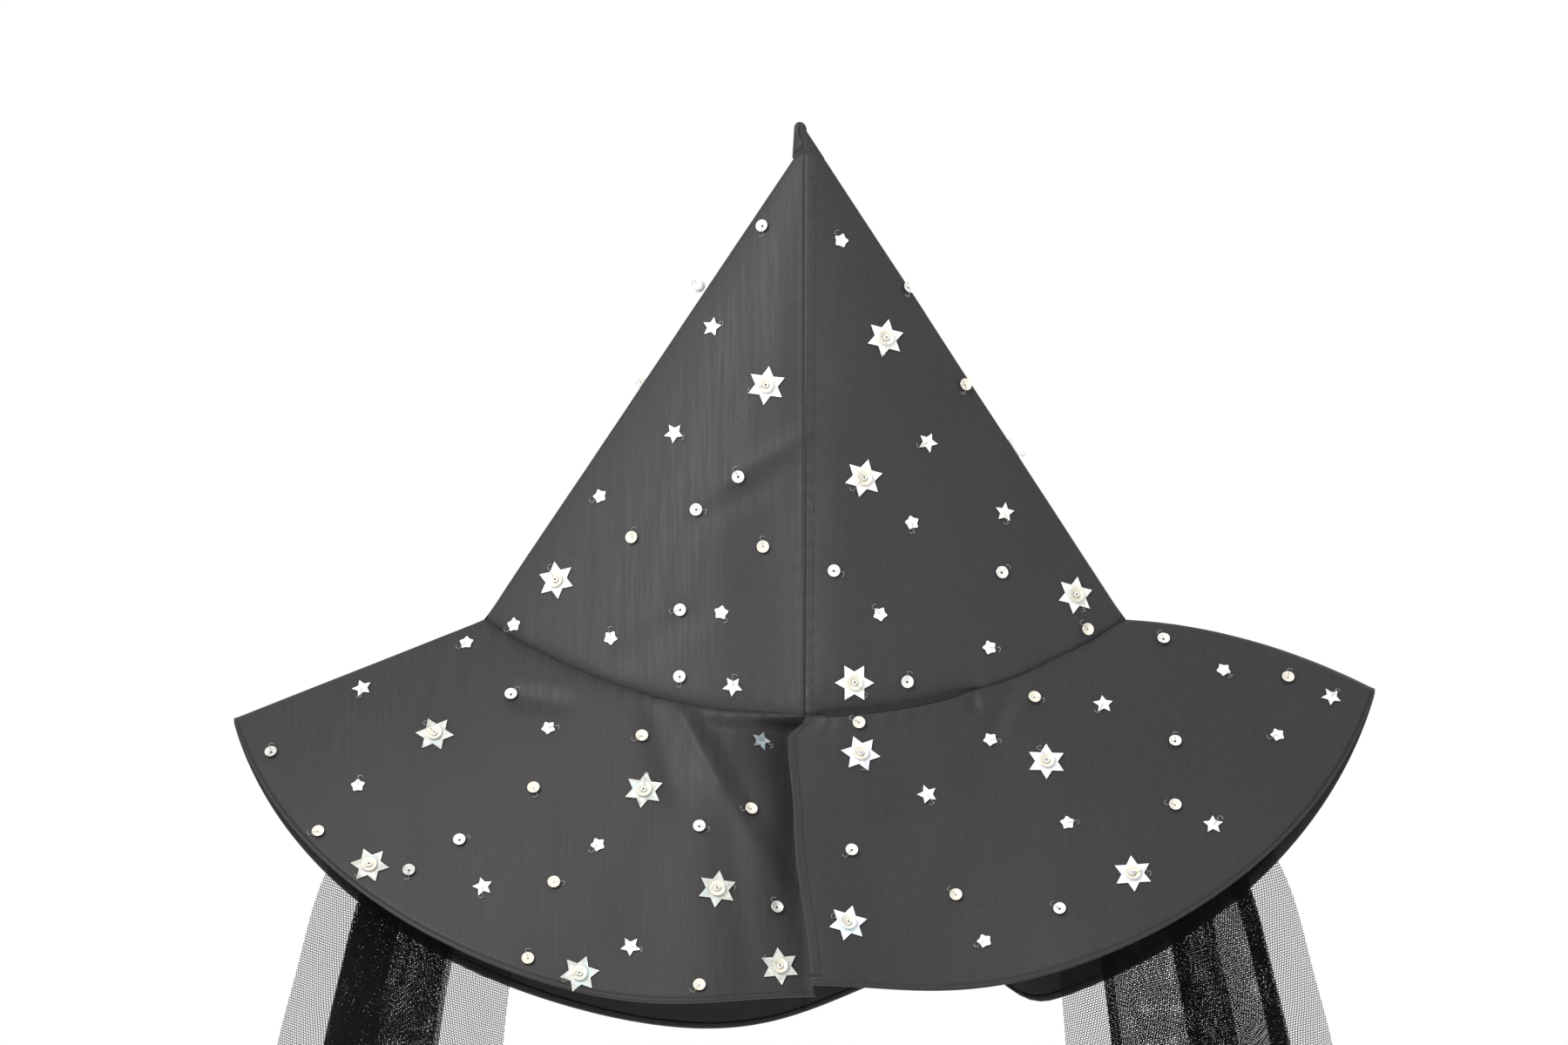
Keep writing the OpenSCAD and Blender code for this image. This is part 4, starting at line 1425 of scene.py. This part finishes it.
def sew_all(
    name, pattern, places, finish, stands_for, needle, lift, tint,
    raise_by=0.0, smooth_angle=28,
):
    """Copies of one sequin at every place, joined into one piece."""
    copies = []
    for k, place in enumerate(places):
        mesh = pattern.data.copy()
        at = needle.sew(place, lift)
        mesh.transform(at @ Matrix.Translation((0, 0, raise_by)))
        tints = mesh.attributes.new("tint", "FLOAT", "POINT")
        tints.data.foreach_set("value", [tint(place, k)] * len(mesh.vertices))
        piece = bpy.data.objects.new(f"{name}_{k}", mesh)
        bpy.context.scene.collection.objects.link(piece)
        copies.append(piece)
    choose(*copies)
    if len(copies) > 1:
        bpy.ops.object.join()
    piece = bpy.context.active_object
    piece.name = name
    piece.data.name = name
    bpy.ops.object.shade_smooth_by_angle(angle=math.radians(smooth_angle))
    bpy.data.objects.remove(pattern)
    return settle(piece, finish, stands_for=stands_for)


def film_tones(sequins):
    return [shade(c, 1) for c in (sequins.pearl, sequins.green, sequins.blue, sequins.clear)]


class HAT_OT_stars(bpy.types.Operator):
    """Large six-pointed stars with a cup and a bead, small stars and blunt stars"""

    bl_idname = "hat.stars"
    bl_label = "Stars"

    def execute(self, context):
        sequins = context.scene.hat_sequins
        needle = Needle()
        film = pearl("pearl_film", film_tones(sequins))
        cup = pearl("cup_film", [shade(sequins.cream, 1)] * 4, 0.16)
        glass = glass_bead("seed_glass", sequins.bead)
        for part in ("crown", "brim"):
            node = f"large_stars_{part}"
            places = sewn_places(node)
            width = 2 * max(p.reach for p in places)

            def tone(place, k, part=part):
                if part == "crown":
                    return OPAQUE
                return GREENISH if place.middle.x < 0 else BLUISH

            star = shape_star("star_pattern", 6, width, sequins.notch, sequins.film, 0.0006)
            sew_all(f"{node}_film", star, places, film, [node], needle, sequins.lift, tone)
            cups = shape_cup("cup_pattern", 0.0064, sequins.film * 0.8, sequins.hole, 0.0012)
            sew_all(f"star_cups_{part}_film", cups, places, cup,
                    [f"star_cups_{part}"], needle, sequins.lift, tone, 0.0004, 50)
            beads = shape_bead("bead_pattern", 0.0026)
            sew_all(f"seed_beads_{part}_glass", beads, places, glass,
                    [f"seed_beads_{part}"], needle, sequins.lift, tone, 0.0008, 60)

            def small_tone(place, k, part=part):
                m = place.middle
                if part == "crown":
                    return OPAQUE
                # one clear star, in the pocket beside the centre fold
                if m.y < 0 and -0.03 < m.x < 0 and m.z > -0.04:
                    return CLEAR
                return 0.05 + 0.1 * ((k * 7) % 5) / 5

            node = f"small_stars_{part}"
            star = shape_star("star_pattern", 5, 0.0086, 0.5, sequins.film, 0.0004, hole=0.0008)
            sew_all(f"{node}_film", star, sewn_places(node), film, [node],
                    needle, sequins.lift, small_tone)
            node = f"blunt_stars_{part}"
            star = shape_star("star_pattern", 5, 0.0066, 0.66, sequins.film, 0.00035, 0.0006, 0.0008)
            sew_all(f"{node}_film", star, sewn_places(node), film, [node],
                    needle, sequins.lift, small_tone)
        return {"FINISHED"}


class HAT_OT_cups(bpy.types.Operator):
    """Round cup sequins and the clear thread that holds every sequin"""

    bl_idname = "hat.cups"
    bl_label = "Cups and threads"

    def execute(self, context):
        sequins = context.scene.hat_sequins
        needle = Needle()
        pearly = pearl("pearl_cup_film", film_tones(sequins), 0.18)
        creamy = pearl("cream_cup_film", [shade(sequins.cream, 1)] * 4, 0.14)
        thread = clear_thread("sewing_thread")
        for part in ("crown", "brim"):
            for kind, finish, slot, hole in (
                ("pearl", pearly, "pearl_sequin", sequins.hole),
                ("cream", creamy, "cream_sequin", sequins.hole * 0.6),
            ):
                node = f"{kind}_sequins_{part}"

                def tone(place, k, part=part, kind=kind):
                    cast = part == "brim" and kind == "pearl" and place.middle.x < 0 and k % 2
                    return 0.35 if cast else OPAQUE

                pattern = shape_cup("cup_pattern", 0.005, sequins.film * 0.8, hole, 0.0010)
                sew_all(f"{node}_film", pattern, sewn_places(node), finish, [node],
                        needle, sequins.lift, tone, 0.0, 50)
            self.threads(part, needle, thread, sequins)
        return {"FINISHED"}

    def threads(self, part, needle, finish, sequins):
        """A stitch over the edge of each sequin, and a loose end beside it."""
        bm = bmesh.new()
        count = 0
        for kind, (reach, high) in STITCHES.items():
            for place in sewn_places(f"{kind}_{part}"):
                count += 1
                at = needle.sew(place, sequins.lift)
                turn = count * 2.4
                way = Vector((math.sin(turn), math.cos(turn), 0))
                bow = Vector((-way.y, way.x, 0)) * 0.0006
                up = Vector((0, 0, 1))
                stitch = [
                    up * high * 0.6,
                    way * reach * 0.55 + up * high,
                    way * reach * 1.02 + up * high * 0.7 + bow,
                    way * (reach + 0.0005) - up * 0.0002 + bow,
                ]
                loose_end = [
                    way * (reach + 0.0003) - up * 0.0001,
                    way * (reach + 0.0013) + up * 0.0004 + bow * 1.5,
                    way * (reach + 0.0018) + up * 0.0007 - bow,
                    way * (reach + 0.0011) + up * 0.0004 - bow * 2.4,
                ]
                for points in (stitch, loose_end):
                    self.tube(bm, at, points, sequins.wisp)
        bmesh.ops.recalc_face_normals(bm, faces=bm.faces)
        new_piece(f"threads_{part}", bm, finish, stands_for=[f"thread_knots_{part}"])

    def tube(self, bm, at, points, width):
        """A thin closed tube along a smooth line through the points."""
        line = []
        for k in range(len(points) - 1):
            before, after = points[max(0, k - 1)], points[min(len(points) - 1, k + 2)]
            for step in range(2):
                t = step / 2
                p, q = points[k], points[k + 1]
                bend = (2 * before - 5 * p + 4 * q - after) * t**2
                twist = (3 * p - before - 3 * q + after) * t**3
                line.append(0.5 * (2 * p + (q - before) * t + bend + twist))
        line.append(points[-1])
        rings = []
        for k, p in enumerate(line):
            ahead = (line[min(k + 1, len(line) - 1)] - line[max(k - 1, 0)]).normalized()
            u = ahead.cross(Vector((0.3, 0.2, 1))).normalized()
            w = ahead.cross(u)
            ring = []
            for i in range(4):
                a = math.pi / 2 * i
                ring.append(bm.verts.new(at @ (p + (u * math.cos(a) + w * math.sin(a)) * width / 2)))
            rings.append(ring)
        skin(bm, rings)


# ---- stage ----


class HAT_OT_stage(bpy.types.Operator):
    """Pale floor, soft light and the camera"""

    bl_idname = "hat.stage"
    bl_label = "Stage"

    def execute(self, context):
        scene, stage = context.scene, context.scene.hat_stage
        below = (0, 0, CAD_BOX[0][2] - 0.002)
        floor = primitive(
            "circle", "floor", vertices=96, radius=stage.floor, fill_type="NGON", location=below
        )
        floor.data.materials.append(studio_floor("floor_paper", stage.floor_colour))

        world = bpy.data.worlds.new("studio")
        scene.world = world
        world.use_nodes = True
        background = world.node_tree.nodes["Background"]
        background.inputs["Color"].default_value = (1, 1, 1, 1)
        background.inputs["Strength"].default_value = 1.0
        for name, where, wide, power in (
            ("key_light", (-1.25, -2.05, 1.5), 1.3, 78.0),
            ("fill_light", (1.6, -2.4, 0.6), 1.8, 8.0),
            ("back_light", (0.5, 2.4, 1.6), 1.6, 14.0),
        ):
            lamp = bpy.data.lights.new(name, "AREA")
            lamp.shape = "SQUARE"
            lamp.size = wide
            lamp.energy = power
            light = bpy.data.objects.new(name, lamp)
            light.location = where
            light.rotation_euler = (-Vector(where)).to_track_quat("-Z", "Y").to_euler()
            scene.collection.objects.link(light)

        lens = bpy.data.cameras.new("camera")
        lens.sensor_width = 36
        lens.lens = 36 * stage.distance / stage.view_width
        lens.clip_start, lens.clip_end = 0.1, 200
        camera = bpy.data.objects.new("camera", lens)
        camera.location = (stage.across, -stage.distance, stage.height)
        camera.rotation_euler = (math.pi / 2, 0, 0)
        scene.collection.objects.link(camera)
        scene.camera = camera
        scene.view_settings.view_transform = "Standard"
        return {"FINISHED"}


class HAT_PT_panel(bpy.types.Panel):
    """Lists the pieces in the order in which they are made"""

    bl_idname = "HAT_PT_panel"
    bl_label = "Witch Hat"
    bl_space_type = "VIEW_3D"
    bl_region_type = "UI"
    bl_category = "Hat"

    def draw(self, context):
        for operator in STEPS:
            self.layout.operator(operator.bl_idname)
        for name, group in GROUPS:
            box = self.layout.box()
            for prop in group.__annotations__:
                box.prop(getattr(context.scene, name), prop)


STEPS = (
    HAT_OT_seams,
    HAT_OT_crown,
    HAT_OT_tip,
    HAT_OT_sweatband,
    HAT_OT_hems,
    HAT_OT_brim,
    HAT_OT_veil,
    HAT_OT_stars,
    HAT_OT_cups,
    HAT_OT_stage,
)


def register():
    for name, group in GROUPS:
        bpy.utils.register_class(group)
        setattr(bpy.types.Scene, name, PointerProperty(type=group))
    for cls in STEPS + (HAT_PT_panel,):
        bpy.utils.register_class(cls)


def unregister():
    for cls in (HAT_PT_panel,) + STEPS[::-1]:
        bpy.utils.unregister_class(cls)
    for name, group in GROUPS[::-1]:
        delattr(bpy.types.Scene, name)
        bpy.utils.unregister_class(group)


def main():
    register()
    for operator in STEPS:
        group, name = operator.bl_idname.split(".")
        getattr(getattr(bpy.ops, group), name)()


if __name__ == "__main__":
    main()
